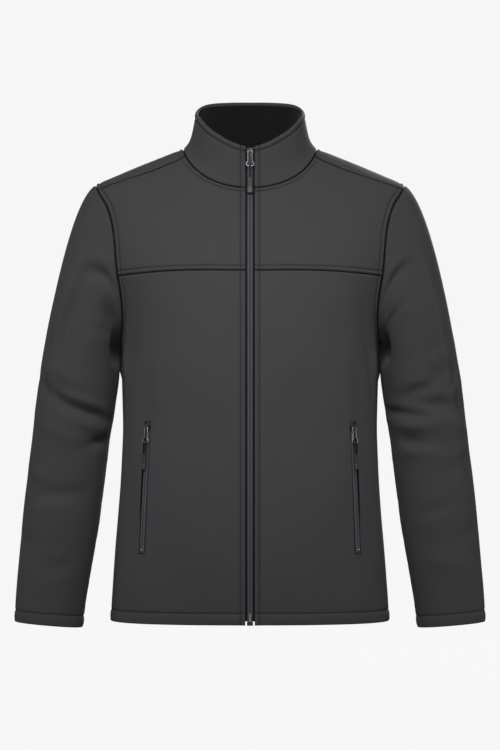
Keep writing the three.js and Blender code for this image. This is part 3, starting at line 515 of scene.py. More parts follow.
def sleeve_folds_of(rows, tau, s):
    """The sum of leaning bells round and along the sleeve, easing to none at the armhole itself."""
    total = 0 * (tau + s)
    for at, place, wide, tall, lean, rise in rows:
        ds = (s - place) / tall
        around = (tau - at - lean * ds + 180) % 360 - 180
        total = total + rise * bump(around / wide) * bump(ds)
    return total * np.minimum(1, s * 4)


# The collar: the height of its rim by psi
rim_height = table(
    (-17.5, 5.7), (0, 0), (17.5, 5.7), (33, 17), (51, 33), (66, 46.5), (80, 53.5), (92, 57.5), (103, 62.5),
    (112, 67), (118.4, 70.5), (126, 74), (137, 77), (151.6, 78.7), (180, 79.3), (208.4, 78.7),
)


def collar_form(psi, t):
    """The collar's outer face, t 0 on the neck seam and 1 at the rim: its radius eases from the neck's plan
    to the rim's, and its height goes straight from the seam to the rim."""
    size = np.abs(psi)
    angle = np.radians(size)
    front = np.cos(angle) > 0
    base = neck_radius(psi) - SEAM
    rim = np.where(front, super_radius(angle, 84, 80, 2.3), super_radius(angle, 84, 70, 2.9))
    r = mix(base, rim, 0.5 * (1 - (1 - t) ** 6) + 0.5 * t)
    z0 = neck_height(size)
    shift = form_normal(psi, z0) * (SEAM * (1 - t) ** 2)[..., None]
    turn = np.radians(psi)
    return np.stack([r * np.sin(turn), -r * np.cos(turn), mix(z0, rim_height(size), t)], -1) + shift


def collar_normal(psi, t):
    """The way out of the collar: the cross product of its slopes round and up."""
    up = collar_form(psi, np.minimum(t + 0.01, 1)) - collar_form(psi, np.maximum(t - 0.01, 0))
    across = collar_form(psi + 0.5, t) - collar_form(psi - 0.5, t)
    return unit(np.cross(across, up))


def collar_psi_at(x, t):
    """The psi at which the collar is x millimetres from the centre front."""
    psi = x / 80 * 57.3 + 0 * t
    for _ in range(6):
        psi = psi * x / collar_form(psi, t)[..., 0]
    return psi


def collar_place(u, t, edge=EDGE):
    """The collar as psi and t, from the zip's edge on the wearer's left (u 0) round the back to the other
    edge. The two fronts take 6 of its 26 shares each, and the back the rest."""
    half = np.minimum(u, 1 - u) * 26
    start = collar_psi_at(edge, t)
    neck_psi = mix(NECK_START, NECK_SIDE, np.clip(half / 6, 0, 1))
    front_psi = start + (neck_psi - NECK_START) * (NECK_SIDE - start) / (NECK_SIDE - NECK_START)
    back_psi = mix(NECK_SIDE, 180, np.clip((half - 6) / 7, 0, 1))
    psi = np.where(half <= 6, front_psi, back_psi)
    return np.where(u > 0.5, -psi, psi), t + 0 * u


def distance_to(points, line):
    """How far each point is from a line of points, and how far along the line its nearest place is: the
    nearest of the line's points is found first, then the nearest place on the two stretches that meet
    there."""
    step = np.diff(line, axis=0)
    long = np.linalg.norm(step, axis=1)
    start = np.concatenate([[0], np.cumsum(long)])
    flat = points.reshape(-1, 3)
    away = np.empty(len(flat))
    along = np.empty(len(flat))
    for first in range(0, len(flat), 4096):
        p = flat[first : first + 4096]
        square = (line * line).sum(1)[None] - 2 * p @ line.T
        nearest = square.argmin(1)
        best = np.full(len(p), np.inf)
        place = np.zeros(len(p))
        for k in (nearest - 1, nearest):
            k = np.clip(k, 0, len(step) - 1)
            t = np.clip(((p - line[k]) * step[k]).sum(1) / np.maximum(long[k] ** 2, 1e-9), 0, 1)
            off = np.linalg.norm(p - line[k] - step[k] * t[:, None], axis=1)
            nearer = off < best
            best = np.where(nearer, off, best)
            place = np.where(nearer, start[k] + t * long[k], place)
        away[first : first + 4096] = best
        along[first : first + 4096] = place
    return away.reshape(points.shape[:-1]), along.reshape(points.shape[:-1])


def uneven(a):
    """A wave of uneven length and height: the mean of four sines whose lengths share no common measure."""
    return (np.sin(a / 1.93) + np.sin(a / 3.11 + 1.3) + np.sin(a / 4.67 + 4.1) + np.sin(a / 7.9 + 2.2)) / 4


class Edge:
    """One edge of a piece of cloth: the line it follows, how deep it turns in where it is sewn, how far off
    a row of topstitching lies, the radius of a folded edge, the height and start of its puckers, and the
    half-width of the shade painted darker into the cloth's colour along its seam."""

    def __init__(self, line, turn=0.0, stitch=0.0, radius=0.0, pucker=0.0, phase=0.0, dark=0.9):
        self.line = line
        self.turn = turn
        self.stitch = stitch
        self.radius = radius
        self.pucker = pucker
        self.phase = phase
        self.dark = dark

    def relief(self, points):
        """At each point, the rises of the outer and inner faces and the painted shade of the seams and stitch
        troughs.
        """
        look = bpy.context.scene.jacket_sizes
        away, along = distance_to(points, self.line)
        wave = uneven(along + self.phase)
        rise = -self.turn * bump(away / look.seam_wide)
        # painted shade: the cloth's colour is darkened along a sewn seam, where its shadow falls
        groove_painted_shade = (self.turn > 0) * bump((away / self.dark) ** 2)
        rise = rise + self.pucker * wave * bump(away / 10)
        if self.stitch:
            pull = 1 + 0.3 * wave
            rise = rise - look.stitch_trough * pull * bump((away - self.stitch) / look.trough_wide)
            rise = rise + 0.9 * look.stitch_trough * bump((away - 0.5 * self.stitch) / (0.36 * self.stitch))
            # painted shade: the colour is darkened down in the stitch trough too
            groove_painted_shade = np.maximum(groove_painted_shade, 0.55 * bump((away - self.stitch) / (0.55 * look.trough_wide)))
        under = 0 * rise
        if self.radius:
            share = 1 - np.clip(away / self.radius, 0, 1)
            round_off = self.radius * (1 - np.sqrt(1 - share**2))
            rise = rise - round_off
            under = round_off
        return rise, under, groove_painted_shade


def sewn(line, phase, stitch=0.0, pucker=1.0, dark=0.9):
    """An edge that is sewn to another piece: it turns in, and puckers by a share of the usual height."""
    look = bpy.context.scene.jacket_sizes
    return Edge(line, look.seam_turn, stitch, 0.0, pucker * look.pucker, phase, dark)


def folded(line, thick, stitch, pucker, phase=0.0):
    """A free edge, folded over and rounded by half of its thickness."""
    return Edge(line, 0.0, stitch, thick / 2, pucker, phase)


def hem_thickness(z):
    """The wall's thickness by height: doubled cloth at the hem, single above it."""
    out_of_hem = np.clip((z - HEM - HEM_FOLD + 2) / 2, 0, 1)
    return np.where(z < HEM + HEM_FOLD, mix(HEM_THICK, CLOTH, out_of_hem), CLOTH)


class Panel:
    """One cut piece of cloth: its surface and normal as functions of two places, and its edges."""

    def __init__(self, surface, normal, edges):
        self.surface = surface
        self.normal = normal
        self.edges = edges

    def lay(self, a, b):
        """Over arrays of places: the bare points, the normals, both faces' rises and the shade painted into
        the grooves.
        """
        points = self.surface(a, b)
        rise = np.zeros(points.shape[:-1])
        under = np.zeros_like(rise)
        groove_painted_shade = np.zeros_like(rise)
        for edge in self.edges:
            r, i, g = edge.relief(points)
            rise = rise + r
            under = np.maximum(under, i)
            groove_painted_shade = np.maximum(groove_painted_shade, g)
        return points, self.normal(a, b), rise, under, groove_painted_shade

    def face(self, a, b):
        """Points on the finished outer face, and the way out there."""
        points, normals, rise, _, _ = self.lay(a, b)
        return points + normals * rise[..., None], normals


FINE = (0.25, 0.6, 1.1, 1.8, 2.8, 4.2, 5.6, 6.5, 7.3, 8.1, 9.2, 11, 14)
HEM_FINE = (0.3, 0.8, 1.6, 3, 6, 10, 14, 16.3, 17.2, 18, 18.8, 19.7, 22)
WELT_FINE = (0.25, 0.6, 1.1, 1.9, 3, 4.6)


def steps(low, high, cell, at_low=FINE, at_high=FINE):
    """Places from low to high in millimetres: fine steps in from both ends, and even cells between."""
    first = low + np.array((0.0,) + tuple(at_low))
    last = high - np.array((0.0,) + tuple(at_high))
    count = max(2, int(round((last[-1] - first[-1]) / cell)))
    between = np.linspace(first[-1], last[-1], count + 1)[1:-1]
    return np.concatenate([first, between, last[::-1]])


def joined(*lists):
    """Lists of places end to end, each starting where the one before it stops."""
    return np.concatenate([lists[0]] + [more[1:] for more in lists[1:]])


def through(places, value):
    """The places with the nearest one moved onto the value, so that a corner falls on a grid line."""
    places = places.copy()
    places[np.abs(places - value).argmin()] = value
    return places


def shell(outer, inner, keep=None):
    """A closed skin between two grids of points: quads on both faces wherever keep is true, and a rim
    wherever a kept cell has no kept neighbour. Returns the points, the quads and which face each quad is on
    (1 is inside)."""
    rows, cols = outer.shape[:2]
    if keep is None:
        keep = np.ones((rows - 1, cols - 1), bool)
    grid = np.arange(rows * cols).reshape(rows, cols)
    n = rows * cols
    a, b, c, d = grid[:-1, :-1], grid[:-1, 1:], grid[1:, 1:], grid[1:, :-1]
    out_quads = np.stack([a, b, c, d], -1)[keep]
    in_quads = np.stack([a, d, c, b], -1)[keep] + n
    wide = np.pad(keep, 1)
    rims = []
    above, below = wide[1:, 1:-1], wide[:-1, 1:-1]
    low, high = grid[:, :-1], grid[:, 1:]
    rims.append(np.stack([high, low, low + n, high + n], -1)[above & ~below])
    rims.append(np.stack([low, high, high + n, low + n], -1)[below & ~above])
    right, left = wide[1:-1, 1:], wide[1:-1, :-1]
    low, high = grid[:-1, :], grid[1:, :]
    rims.append(np.stack([low, high, high + n, low + n], -1)[right & ~left])
    rims.append(np.stack([high, low, low + n, high + n], -1)[left & ~right])
    quads = np.concatenate([out_quads, in_quads] + rims)
    inside = np.zeros(len(quads), int)
    inside[len(out_quads) : len(out_quads) + len(in_quads)] = 1
    return np.concatenate([outer.reshape(-1, 3), inner.reshape(-1, 3)]), quads, inside


def write_mesh(name, points, quads, materials, face_material=None, uv=None, shade=None):
    """Puts points in millimetres and quads into a new object at the origin, with its finish, its UV map in
    metres and the shade painted into its grooves as a point attribute. Points that no quad uses are left out."""
    used = np.unique(quads)
    number = np.zeros(len(points), int)
    number[used] = np.arange(len(used))
    quads = number[quads]
    mesh = bpy.data.meshes.new(name)
    mesh.vertices.add(len(used))
    mesh.vertices.foreach_set("co", (points[used] * MM).astype(np.float32).ravel())
    mesh.loops.add(quads.size)
    mesh.loops.foreach_set("vertex_index", quads.astype(np.int32).ravel())
    mesh.polygons.add(len(quads))
    mesh.polygons.foreach_set("loop_start", np.arange(0, quads.size, 4, dtype=np.int32))
    mesh.update(calc_edges=True)
    mesh.polygons.foreach_set("use_smooth", np.ones(len(quads), bool))
    for material in materials:
        mesh.materials.append(material)
    if face_material is not None:
        mesh.polygons.foreach_set("material_index", face_material.astype(np.int32))
    if uv is not None:
        layer = mesh.uv_layers.new(name="cloth")
        layer.data.foreach_set("uv", (uv[used][quads.ravel()] * MM).astype(np.float32).ravel())
    if shade is not None:
        groove_painted_shade = mesh.attributes.new("groove_painted_shade", "FLOAT", "POINT")
        groove_painted_shade.data.foreach_set("value", shade[used].astype(np.float32))
    mesh.validate()
    piece = bpy.data.objects.new(name, mesh)
    bpy.context.scene.collection.objects.link(piece)
    return piece


def lengths(points):
    """How far along its row and along its column each point of a grid is, from the grid's middle."""
    across = np.linalg.norm(np.diff(points, axis=1), axis=-1)
    across = np.concatenate([np.zeros((len(points), 1)), np.cumsum(across, 1)], 1)
    across = across - across[:, across.shape[1] // 2][:, None]
    up = np.linalg.norm(np.diff(points, axis=0), axis=-1)
    up = np.concatenate([np.zeros((1, points.shape[1])), np.cumsum(up, 0)])
    return np.stack([across, up], -1)


def make_cloth(name, panel, a, b, thick, keep=None, flip=False, rolled=None):
    """Writes a panel as a closed shell over the grid of places a and b: the outer cloth outside, fleece
    inside, and the outer cloth on both faces in the cells where rolled is true. The panel is kept for its
    topstitching."""
    points, normals, rise, under, groove_painted_shade = panel.lay(a, b)
    outer = points + normals * rise[..., None]
    inner = points - normals * (thick - under)[..., None]
    uv = lengths(points)
    if flip:
        outer, inner, uv, groove_painted_shade = outer[:, ::-1], inner[:, ::-1], uv[:, ::-1], groove_painted_shade[:, ::-1]
        keep = None if keep is None else keep[:, ::-1]
    both, quads, side = shell(outer, inner, keep)
    if rolled is not None:
        side[rolled.size : 2 * rolled.size][rolled.ravel()] = 0
    uv = np.concatenate([uv.reshape(-1, 2)] * 2)
    # painted shade of the seams and stitch troughs, on the outer face only
    shade = np.concatenate([groove_painted_shade.ravel(), 0 * groove_painted_shade.ravel()])
    piece = write_mesh("cloth_" + name, both, quads, [finish("softshell"), finish("fleece")], side, uv, shade)
    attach(piece, "jacket")
    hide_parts(name)
    PANELS[name] = panel
    return piece


def new_group(name, output, **inputs):
    """An empty shader node group: a Vector, more number inputs with their defaults, and one number output."""
    group = bpy.data.node_groups.new(name, "ShaderNodeTree")
    group.interface.new_socket(name="Vector", in_out="INPUT", socket_type="NodeSocketVector")
    for socket, default in inputs.items():
        made = group.interface.new_socket(name=socket, in_out="INPUT", socket_type="NodeSocketFloat")
        made.default_value = default
    group.interface.new_socket(name=output, in_out="OUTPUT", socket_type="NodeSocketFloat")
    return group, group.nodes.new("NodeGroupInput").outputs, group.nodes.new("NodeGroupOutput").inputs[output]


def feed(tree, socket, value):
    """Gives a socket a number, or links another socket to it."""
    if isinstance(value, (int, float)):
        socket.default_value = value
    else:
        tree.links.new(value, socket)


def math_node(tree, operation, *values, clamp=False):
    """One Math node; the values are sockets or numbers. Returns its output."""
    node = tree.nodes.new("ShaderNodeMath")
    node.operation = operation
    node.use_clamp = clamp
    for socket, value in zip(node.inputs, values):
        feed(tree, socket, value)
    return node.outputs[0]


def times(tree, a, b):
    """a times b."""
    return math_node(tree, "MULTIPLY", a, b)


def plus(tree, a, b):
    """a and b added."""
    return math_node(tree, "ADD", a, b)


def noise_node(tree, vector, scale, detail, roughness=0.5):
    """One Noise texture at a scale in cycles a metre, or a socket that gives it. Returns its factor."""
    node = tree.nodes.new("ShaderNodeTexNoise")
    node.inputs["Detail"].default_value = detail
    node.inputs["Roughness"].default_value = roughness
    tree.links.new(vector, node.inputs["Vector"])
    feed(tree, node.inputs["Scale"], scale)
    return node.outputs["Fac"]


def mottle_group(name):
    """Uneven dye: broad and fine noise, mixed and spread evenly round one by Amount."""
    group, given, result = new_group(name, "Factor", Broad=9.0, Fine=900.0, Amount=0.1)
    broad = noise_node(group, given["Vector"], given["Broad"], 3.0)
    fine = noise_node(group, given["Vector"], given["Fine"], 1.0)
    both = plus(group, times(group, broad, 0.45), times(group, fine, 0.55))
    spread = times(group, math_node(group, "SUBTRACT", both, 0.5), 2.0)
    group.links.new(plus(group, times(group, spread, given["Amount"]), 1.0), result)
    return group


def grain_group(name):
    """A fine knitted face: sines across and along the cloth at Count threads a metre, with every other wale
    half a stitch further on, multiplied and brought to 0 to 1."""
    group, given, result = new_group(name, "Height", Count=1400.0)
    split = group.nodes.new("ShaderNodeSeparateXYZ")
    group.links.new(given["Vector"], split.inputs[0])
    turn = times(group, given["Count"], 2 * math.pi)
    wale = times(group, split.outputs["X"], turn)
    course = times(group, split.outputs["Y"], turn)
    lean = plus(group, course, times(group, math_node(group, "SINE", wale), 0.8))
    half_wale = math_node(group, "SINE", times(group, wale, 0.5))
    both = times(group, half_wale, math_node(group, "SINE", lean))
    group.links.new(plus(group, times(group, both, 0.5), 0.5), result)
    return group


def pile_group(name):
    """A brushed pile: two sizes of noise, the coarse one lumps and the fine one fibres."""
    group, given, result = new_group(name, "Height", Lumps=260.0)
    coarse = noise_node(group, given["Vector"], given["Lumps"], 2.0)
    fibres = noise_node(group, given["Vector"], times(group, given["Lumps"], 5.0), 4.0, 0.7)
    group.links.new(plus(group, times(group, coarse, 0.6), times(group, fibres, 0.4)), result)
    return group


def wear_group(name):
    """Rubbed metal: where the noise is high the coating is gone, with a short step in between."""
    group, given, result = new_group(name, "Mask", Scale=700.0)
    spots = noise_node(group, given["Vector"], given["Scale"], 3.0, 0.6)
    over = math_node(group, "SUBTRACT", spots, 0.57)
    group.links.new(math_node(group, "MULTIPLY", over, 6.0, clamp=True), result)
    return group


EFFECTS = {
    "Jacket Mottle": mottle_group,
    "Jacket Knit Grain": grain_group,
    "Jacket Pile": pile_group,
    "Jacket Wear": wear_group,
}


class Finish:
    """A material under way: its tree, its Principled shader and its coordinates."""

    def __init__(self, name, roughness, metallic=0.0, specular=0.5):
        self.material = bpy.data.materials.new("jacket_" + name)
        self.material.use_nodes = True
        self.tree = self.material.node_tree
        self.shader = self.tree.nodes["Principled BSDF"]
        self.set(Roughness=roughness, Metallic=metallic, Specular_IOR_Level=specular)
        self.object = self.tree.nodes.new("ShaderNodeTexCoord").outputs["Object"]

    def set(self, **values):
        """Constants on the shader's own sockets, named with a low line for each space."""
        for name, value in values.items():
            self.shader.inputs[name.replace("_", " ")].default_value = value

    def effect(self, name, vector=None, **values):
        """A shared node group, made once, fed with a vector and its own values."""
        node = self.tree.nodes.new("ShaderNodeGroup")
        node.node_tree = bpy.data.node_groups.get(name) or EFFECTS[name](name)
        self.tree.links.new(vector or self.object, node.inputs["Vector"])
        for socket, value in values.items():
            node.inputs[socket].default_value = value
        return node.outputs[0]

    def mottle(self, broad, fine, amount):
        """Uneven dye, with broad and fine patches a metre."""
        return self.effect("Jacket Mottle", Broad=broad, Fine=fine, Amount=amount)

    def cloth_uv(self):
        """The cloth's own UV map, in metres along and across it."""
        node = self.tree.nodes.new("ShaderNodeUVMap")
        node.uv_map = "cloth"
        return node.outputs["UV"]

    def out_of_painted_shade(self, amount):
        """One on the open face, less by amount down in the grooves: painted shade, darkening the colour where
        the seams' shadow falls.
        """
        node = self.tree.nodes.new("ShaderNodeAttribute")
        # reads the painted shade of the seams and stitch troughs
        node.attribute_name = "groove_painted_shade"
        return math_node(self.tree, "SUBTRACT", 1.0, times(self.tree, node.outputs["Fac"], amount))

    def dye(self, colour, *factors):
        """Base colour: the colour times each factor."""
        last = None
        for factor in factors:
            node = self.tree.nodes.new("ShaderNodeVectorMath")
            node.operation = "SCALE"
            if last is None:
                node.inputs[0].default_value = colour[:3]
            else:
                self.tree.links.new(last, node.inputs[0])
            self.tree.links.new(factor, node.inputs["Scale"])
            last = node.outputs[0]
        self.tree.links.new(last, self.shader.inputs["Base Color"])

    def raise_by(self, height, distance, strength):
        """A Bump node: the height, at a depth in metres, turns the normal."""
        node = self.tree.nodes.new("ShaderNodeBump")
        node.inputs["Distance"].default_value = distance
        node.inputs["Strength"].default_value = strength
        self.tree.links.new(height, node.inputs["Height"])
        self.tree.links.new(node.outputs[0], self.shader.inputs["Normal"])

    def rough_by(self, mask, change, base):
        """Roughness: a base value, changed where the mask is one."""
        changed = plus(self.tree, times(self.tree, mask, change), base)
        self.tree.links.new(changed, self.shader.inputs["Roughness"])


def softshell_finish(look):
    """The outer cloth: matt dark grey, finely knitted, with shade painted darker into its colour where the
    seams and stitches pull it in.
    """
    made = Finish("softshell", 0.8, specular=0.12)
    # the colour is darkened by the painted shade of the seams and stitch troughs
    made.dye(look.softshell, made.mottle(7.0, 1300.0, 0.1), made.out_of_painted_shade(look.painted_shade_strength))
    made.raise_by(made.effect("Jacket Knit Grain", made.cloth_uv(), Count=1350.0), 0.00008, 0.6)
    made.set(Sheen_Weight=0.05, Sheen_Roughness=0.5)
    return made.material


def fleece_finish(look):
    """The brushed inner face: near black, with a soft uneven pile."""
    made = Finish("fleece", 0.95, specular=0.1)
    made.dye(look.fleece, made.mottle(30.0, 700.0, 0.35))
    made.raise_by(made.effect("Jacket Pile", Lumps=260.0), 0.0009, 0.9)
    made.set(Sheen_Weight=0.08, Sheen_Roughness=0.6)
    return made.material


def tape_finish(look):
    """The zip's woven tape: fine ribs across it, with a faint violet cast, and shade painted darker into the
    gaps beside the chain and along its middle.
    """
    made = Finish("zip", 0.65, specular=0.12)
    # painted shade in the gaps beside the chain and along its middle
    made.dye(look.tape, made.mottle(40.0, 1600.0, 0.16), made.out_of_painted_shade(0.93))
    made.raise_by(made.effect("Jacket Knit Grain", Count=1700.0), 0.0001, 0.8)
    return made.material


def thread_finish(look):
    """Sewing thread: darker than the cloth, slightly glossy, twisted."""
    made = Finish("thread", 0.5, specular=0.45)
    made.dye(look.thread, made.mottle(60.0, 2400.0, 0.2))
    made.raise_by(made.effect("Jacket Knit Grain", Count=2600.0), 0.00006, 0.8)
    return made.material


def metal_finish(look):
    """The sliders: dark plated metal, paler where it is rubbed."""
    made = Finish("slider", 0.34, metallic=0.9)
    mask = made.effect("Jacket Wear", Scale=420.0)
    blend = made.tree.nodes.new("ShaderNodeMix")
    blend.data_type = "RGBA"
    made.tree.links.new(mask, blend.inputs["Factor"])
    blend.inputs["A"].default_value = look.slider
    blend.inputs["B"].default_value = look.slider_rubbed
    made.tree.links.new(blend.outputs["Result"], made.shader.inputs["Base Color"])
    made.rough_by(mask, -0.1, 0.38)
    made.raise_by(mask, 0.00003, 0.5)
    return made.material


def wire_finish(look):
    """The pulls' wire frames: satin plated steel with fine scuffs."""
    made = Finish("wire", 0.4, metallic=1.0)
    made.dye(look.wire, made.mottle(200.0, 1800.0, 0.14))
    made.rough_by(made.effect("Jacket Wear", Scale=1300.0), 0.14, 0.36)
    return made.material


def cord_finish(look):
    """The pulls' cord: matt braided yarn."""
    made = Finish("cord", 0.8, specular=0.25)
    made.dye(look.cord, made.mottle(120.0, 2200.0, 0.25))
    made.raise_by(made.effect("Jacket Knit Grain", Count=1100.0), 0.00012, 0.9)
    return made.material


def moulded_finish(name, colour, roughness, specular):
    """Soft plastic with a fine spark-eroded skin."""
    made = Finish(name, roughness, specular=specular)
    made.dye(colour, made.mottle(90.0, 1500.0, 0.1))
    made.raise_by(made.effect("Jacket Pile", Lumps=1500.0), 0.00005, 0.6)
    return made.material


def grip_finish(look):
    """The moulded grips: satin."""
    return moulded_finish("grip", look.grip, 0.55, 0.4)


def grip_foot_finish(look):
    """The grips' thicker foot: the same plastic, rubbed a little paler and glossier."""
    return moulded_finish("grip_foot", look.grip_foot, 0.45, 0.45)


FINISHES = {
    "softshell": softshell_finish,
    "fleece": fleece_finish,
    "zip": tape_finish,
    "thread": thread_finish,
    "slider": metal_finish,
    "wire": wire_finish,
    "cord": cord_finish,
    "grip": grip_finish,
    "grip_foot": grip_foot_finish,
}


def finish(name):
    """The finished material of that name, made once."""
    return bpy.data.materials.get("jacket_" + name) or FINISHES[name](bpy.context.scene.jacket_colours)


def crease_body(psi, z):
    """The body's outer face for the looks: the solids' face moved out by the finer creases."""
    strength = bpy.context.scene.jacket_sizes.crease_strength
    fine = folds_of(BODY_CREASES, psi, z) * strength
    return body(psi, z) + form_normal(psi, z) * fine[..., None]


def body_line(side, psi, z):
    """A line of points on the body, on the wearer's left (side 1) or right (-1)."""
    psi, z = np.broadcast_arrays(np.asarray(psi, float), np.asarray(z, float))
    return crease_body(side * psi, z)


def armhole_line(side):
    """The whole armhole as a line of points."""
    psi, z = armhole(np.linspace(0, 360, 900))
    return body_line(side, psi, z)


def zip_edge_places(low, high, count=700):
    """The panel's edge beside the zip, between two heights, as psi and height."""
    z = np.linspace(low, high, count)
    return psi_at(EDGE, z), z


def zip_edge_line(side, low, high):
    """The same edge as points."""
    return body_line(side, *zip_edge_places(low, high, 400))


def pocket_line_x(z):
    """How far from the centre front the pocket zip's line is at a height, running on past its ends."""
    t = np.clip((POCKET_TOP[1] - z) / (POCKET_TOP[1] - POCKET_END[1]), -0.4, 1.3)
    return mix(POCKET_TOP[0], POCKET_END[0], t)


def pocket_point(side, along, x, depth):
    """A point at the pocket zip: along is down its line, x across it, depth in from the cloth."""
    t = along / POCKET_LONG
    slant = (POCKET_END[0] - POCKET_TOP[0]) / POCKET_LONG
    z = mix(POCKET_TOP[1], POCKET_END[1], t) + x * slant * 0.6
    middle = psi_at(mix(POCKET_TOP[0], POCKET_END[0], t), z)
    degree = np.linalg.norm(form(middle + 0.5, z) - form(middle - 0.5, z), axis=-1)
    psi = side * (middle + x / degree)
    return body(psi, z) - form_normal(psi, z) * np.asarray(depth, float)[..., None]


SLOT_TOP = 2.0
SLOT_FOOT = POCKET_LONG - 3
SLOT_TOP_Z = mix(POCKET_TOP[1], POCKET_END[1], SLOT_TOP / POCKET_LONG)
SLOT_FOOT_Z = mix(POCKET_TOP[1], POCKET_END[1], SLOT_FOOT / POCKET_LONG)


def slot_line(side):
    """The pocket opening's edge, once round."""
    along = np.linspace(SLOT_TOP, SLOT_FOOT, 260)
    across = np.linspace(-SLOT, SLOT, 20)
    a = np.concatenate([along, 0 * across + SLOT_FOOT, along[::-1], 0 * across + SLOT_TOP])
    x = np.concatenate([0 * along - SLOT, across, 0 * along + SLOT, across[::-1]])
    return pocket_point(side, a, x, 0 * a)


FRONT_WIDE = 275.0
SLOT_MIDDLE = 172.0


def lower_front_grid():
    """Places across and up the lower front, with the pocket slot's sides and ends on grid lines."""
    across = joined(
        steps(0, SLOT_MIDDLE - SLOT, 4.6, FINE, WELT_FINE),
        np.linspace(SLOT_MIDDLE - SLOT, SLOT_MIDDLE + SLOT, 3),
        steps(SLOT_MIDDLE + SLOT, FRONT_WIDE, 4.6, WELT_FINE, FINE),
    )
    up = joined(
        steps(HEM, SLOT_FOOT_Z, 5, HEM_FINE, WELT_FINE),
        steps(SLOT_FOOT_Z, SLOT_TOP_Z, 5, WELT_FINE, WELT_FINE),
        steps(SLOT_TOP_Z, CHEST, 4.6, WELT_FINE, FINE),
    )
    return across, (up - HEM) / (CHEST - HEM)


def slot_warp(share, z, psi_start, psi_end):
    """Moves the grid's columns so that two of them follow the slot's sides: straight shares between the zip's
    edge, the slot's sides and the side seam."""
    middle = psi_at(pocket_line_x(z), z)
    degree = np.linalg.norm(form(middle + 0.5, z) - form(middle - 0.5, z), axis=-1)
    left = (middle - SLOT / degree - psi_start) / (psi_end - psi_start)
    right = (middle + SLOT / degree - psi_start) / (psi_end - psi_start)
    low, high = (SLOT_MIDDLE - SLOT) / FRONT_WIDE, (SLOT_MIDDLE + SLOT) / FRONT_WIDE
    first = share / low * left
    second = left + (share - low) / (high - low) * (right - left)
    third = right + (share - high) / (1 - high) * (1 - right)
    return np.where(share < low, first, np.where(share < high, second, third))


def make_lower_front(side, name):
    """One lower front: level rows up to the underarm, then rows that bend up to the chest seam."""
    look = bpy.context.scene.jacket_sizes
    across, up = lower_front_grid()
    share, v = np.meshgrid(across / FRONT_WIDE, up)
    u = share
    for _ in range(3):
        psi, z = lower_front_place(u, v)
        psi_end = lower_front_place(1 + 0 * v, v)[0]
        u = slot_warp(share, z, psi_at(EDGE, z), psi_end)
    psi, z = lower_front_place(u, v)
    thick = np.where(u < 0.05, CLOTH, hem_thickness(z))
    keep = np.ones((len(up) - 1, len(across) - 1), bool)
    slot_cols = (across[:-1] >= SLOT_MIDDLE - SLOT - 0.01) & (across[1:] <= SLOT_MIDDLE + SLOT + 0.01)
    heights = HEM + up * (CHEST - HEM)
    slot_rows = (heights[:-1] >= SLOT_FOOT_Z - 0.01) & (heights[1:] <= SLOT_TOP_Z + 0.01)
    keep[np.ix_(slot_rows, slot_cols)] = False
    chest = yoke_bottom(np.linspace(0, 1, 400))
    hem_psi = np.linspace(0, 90, 400)
    side_z = np.linspace(HEM, SIDE_TOP, 400)
    edges = [
        sewn(body_line(side, *chest), 3),
        sewn(armhole_line(side), 9, look.armhole_stitch),
        sewn(body_line(side, 90, side_z), 5),
        folded(body_line(side, hem_psi, HEM), HEM_THICK, look.hem_stitch, 0.3, side),
        folded(zip_edge_line(side, HEM, -180), CLOTH, look.zip_stitch, 0.12, 7),
        Edge(slot_line(side), turn=0.4, radius=CLOTH / 2, pucker=0.12),
    ]
    panel = Panel(crease_body, form_normal, edges)
    return make_cloth(name, panel, side * psi, z, thick, keep=keep, flip=side < 0)


def make_yoke(side, name):
    """One front yoke: a patch between the chest, armhole, shoulder and neck seams and the zip."""
    look = bpy.context.scene.jacket_sizes
    across = through(steps(0, 250, 4.4) / 250, NECK_SHARE)
    up = steps(0, 150, 4.4) / 150
    psi, z = yoke_place(*np.meshgrid(across, up))
    shoulder = shoulder_seam(np.linspace(0, 1, 300))
    neck_psi = np.linspace(0, NECK_SIDE, 300)
    edges = [
        sewn(body_line(side, *yoke_bottom(np.linspace(0, 1, 400))), 3, look.chest_stitch),
        sewn(armhole_line(side), 9, look.armhole_stitch),
        sewn(body_line(side, *shoulder), 12, pucker=2.4, dark=1.5),
        sewn(body_line(side, neck_psi, neck_height(neck_psi)), 14, look.neck_stitch),
        folded(zip_edge_line(side, -200, NECK_FRONT_Z), CLOTH, look.zip_stitch, 0.12, 7),
    ]
    panel = Panel(crease_body, form_normal, edges)
    return make_cloth(name, panel, side * psi, z, CLOTH + 0 * z, flip=side < 0)


def make_back(name):
    """The back: one panel from side seam to side seam, up to the armholes, shoulder seams and neck."""
    look = bpy.context.scene.jacket_sizes
    across = steps(0, 560, 4.8) / 560
    across = through(through(across, BACK_NECK_SHARE), 1 - BACK_NECK_SHARE)
    up = steps(0, 700, 4.8, HEM_FINE, FINE) / 700
    psi, z = back_place(*np.meshgrid(across, up))
    shoulder = shoulder_seam(np.linspace(0, 1, 300))
    neck_psi = np.linspace(NECK_SIDE, 180, 400)
    neck_z = neck_height(neck_psi)
    side_z = np.linspace(HEM, SIDE_TOP, 400)
    whole_neck = np.concatenate([neck_psi, 360 - neck_psi[::-1]])
    edges = [
        folded(body_line(1, np.linspace(90, 270, 900), HEM), HEM_THICK, look.hem_stitch, 0.3),
        sewn(body_line(1, whole_neck, np.concatenate([neck_z, neck_z[::-1]])), 14, look.neck_stitch),
    ]
    for side, _ in SIDES:
        edges.append(sewn(armhole_line(side), 9, look.armhole_stitch))
        edges.append(sewn(body_line(side, *shoulder), 12, pucker=2.4, dark=1.5))
        edges.append(sewn(body_line(side, 90, side_z), 5))
    return make_cloth(name, Panel(crease_body, form_normal, edges), psi, z, hem_thickness(z))


CAP_LONG = 200
ARM_LONG = 410
SLEEVE_ROUND = 430


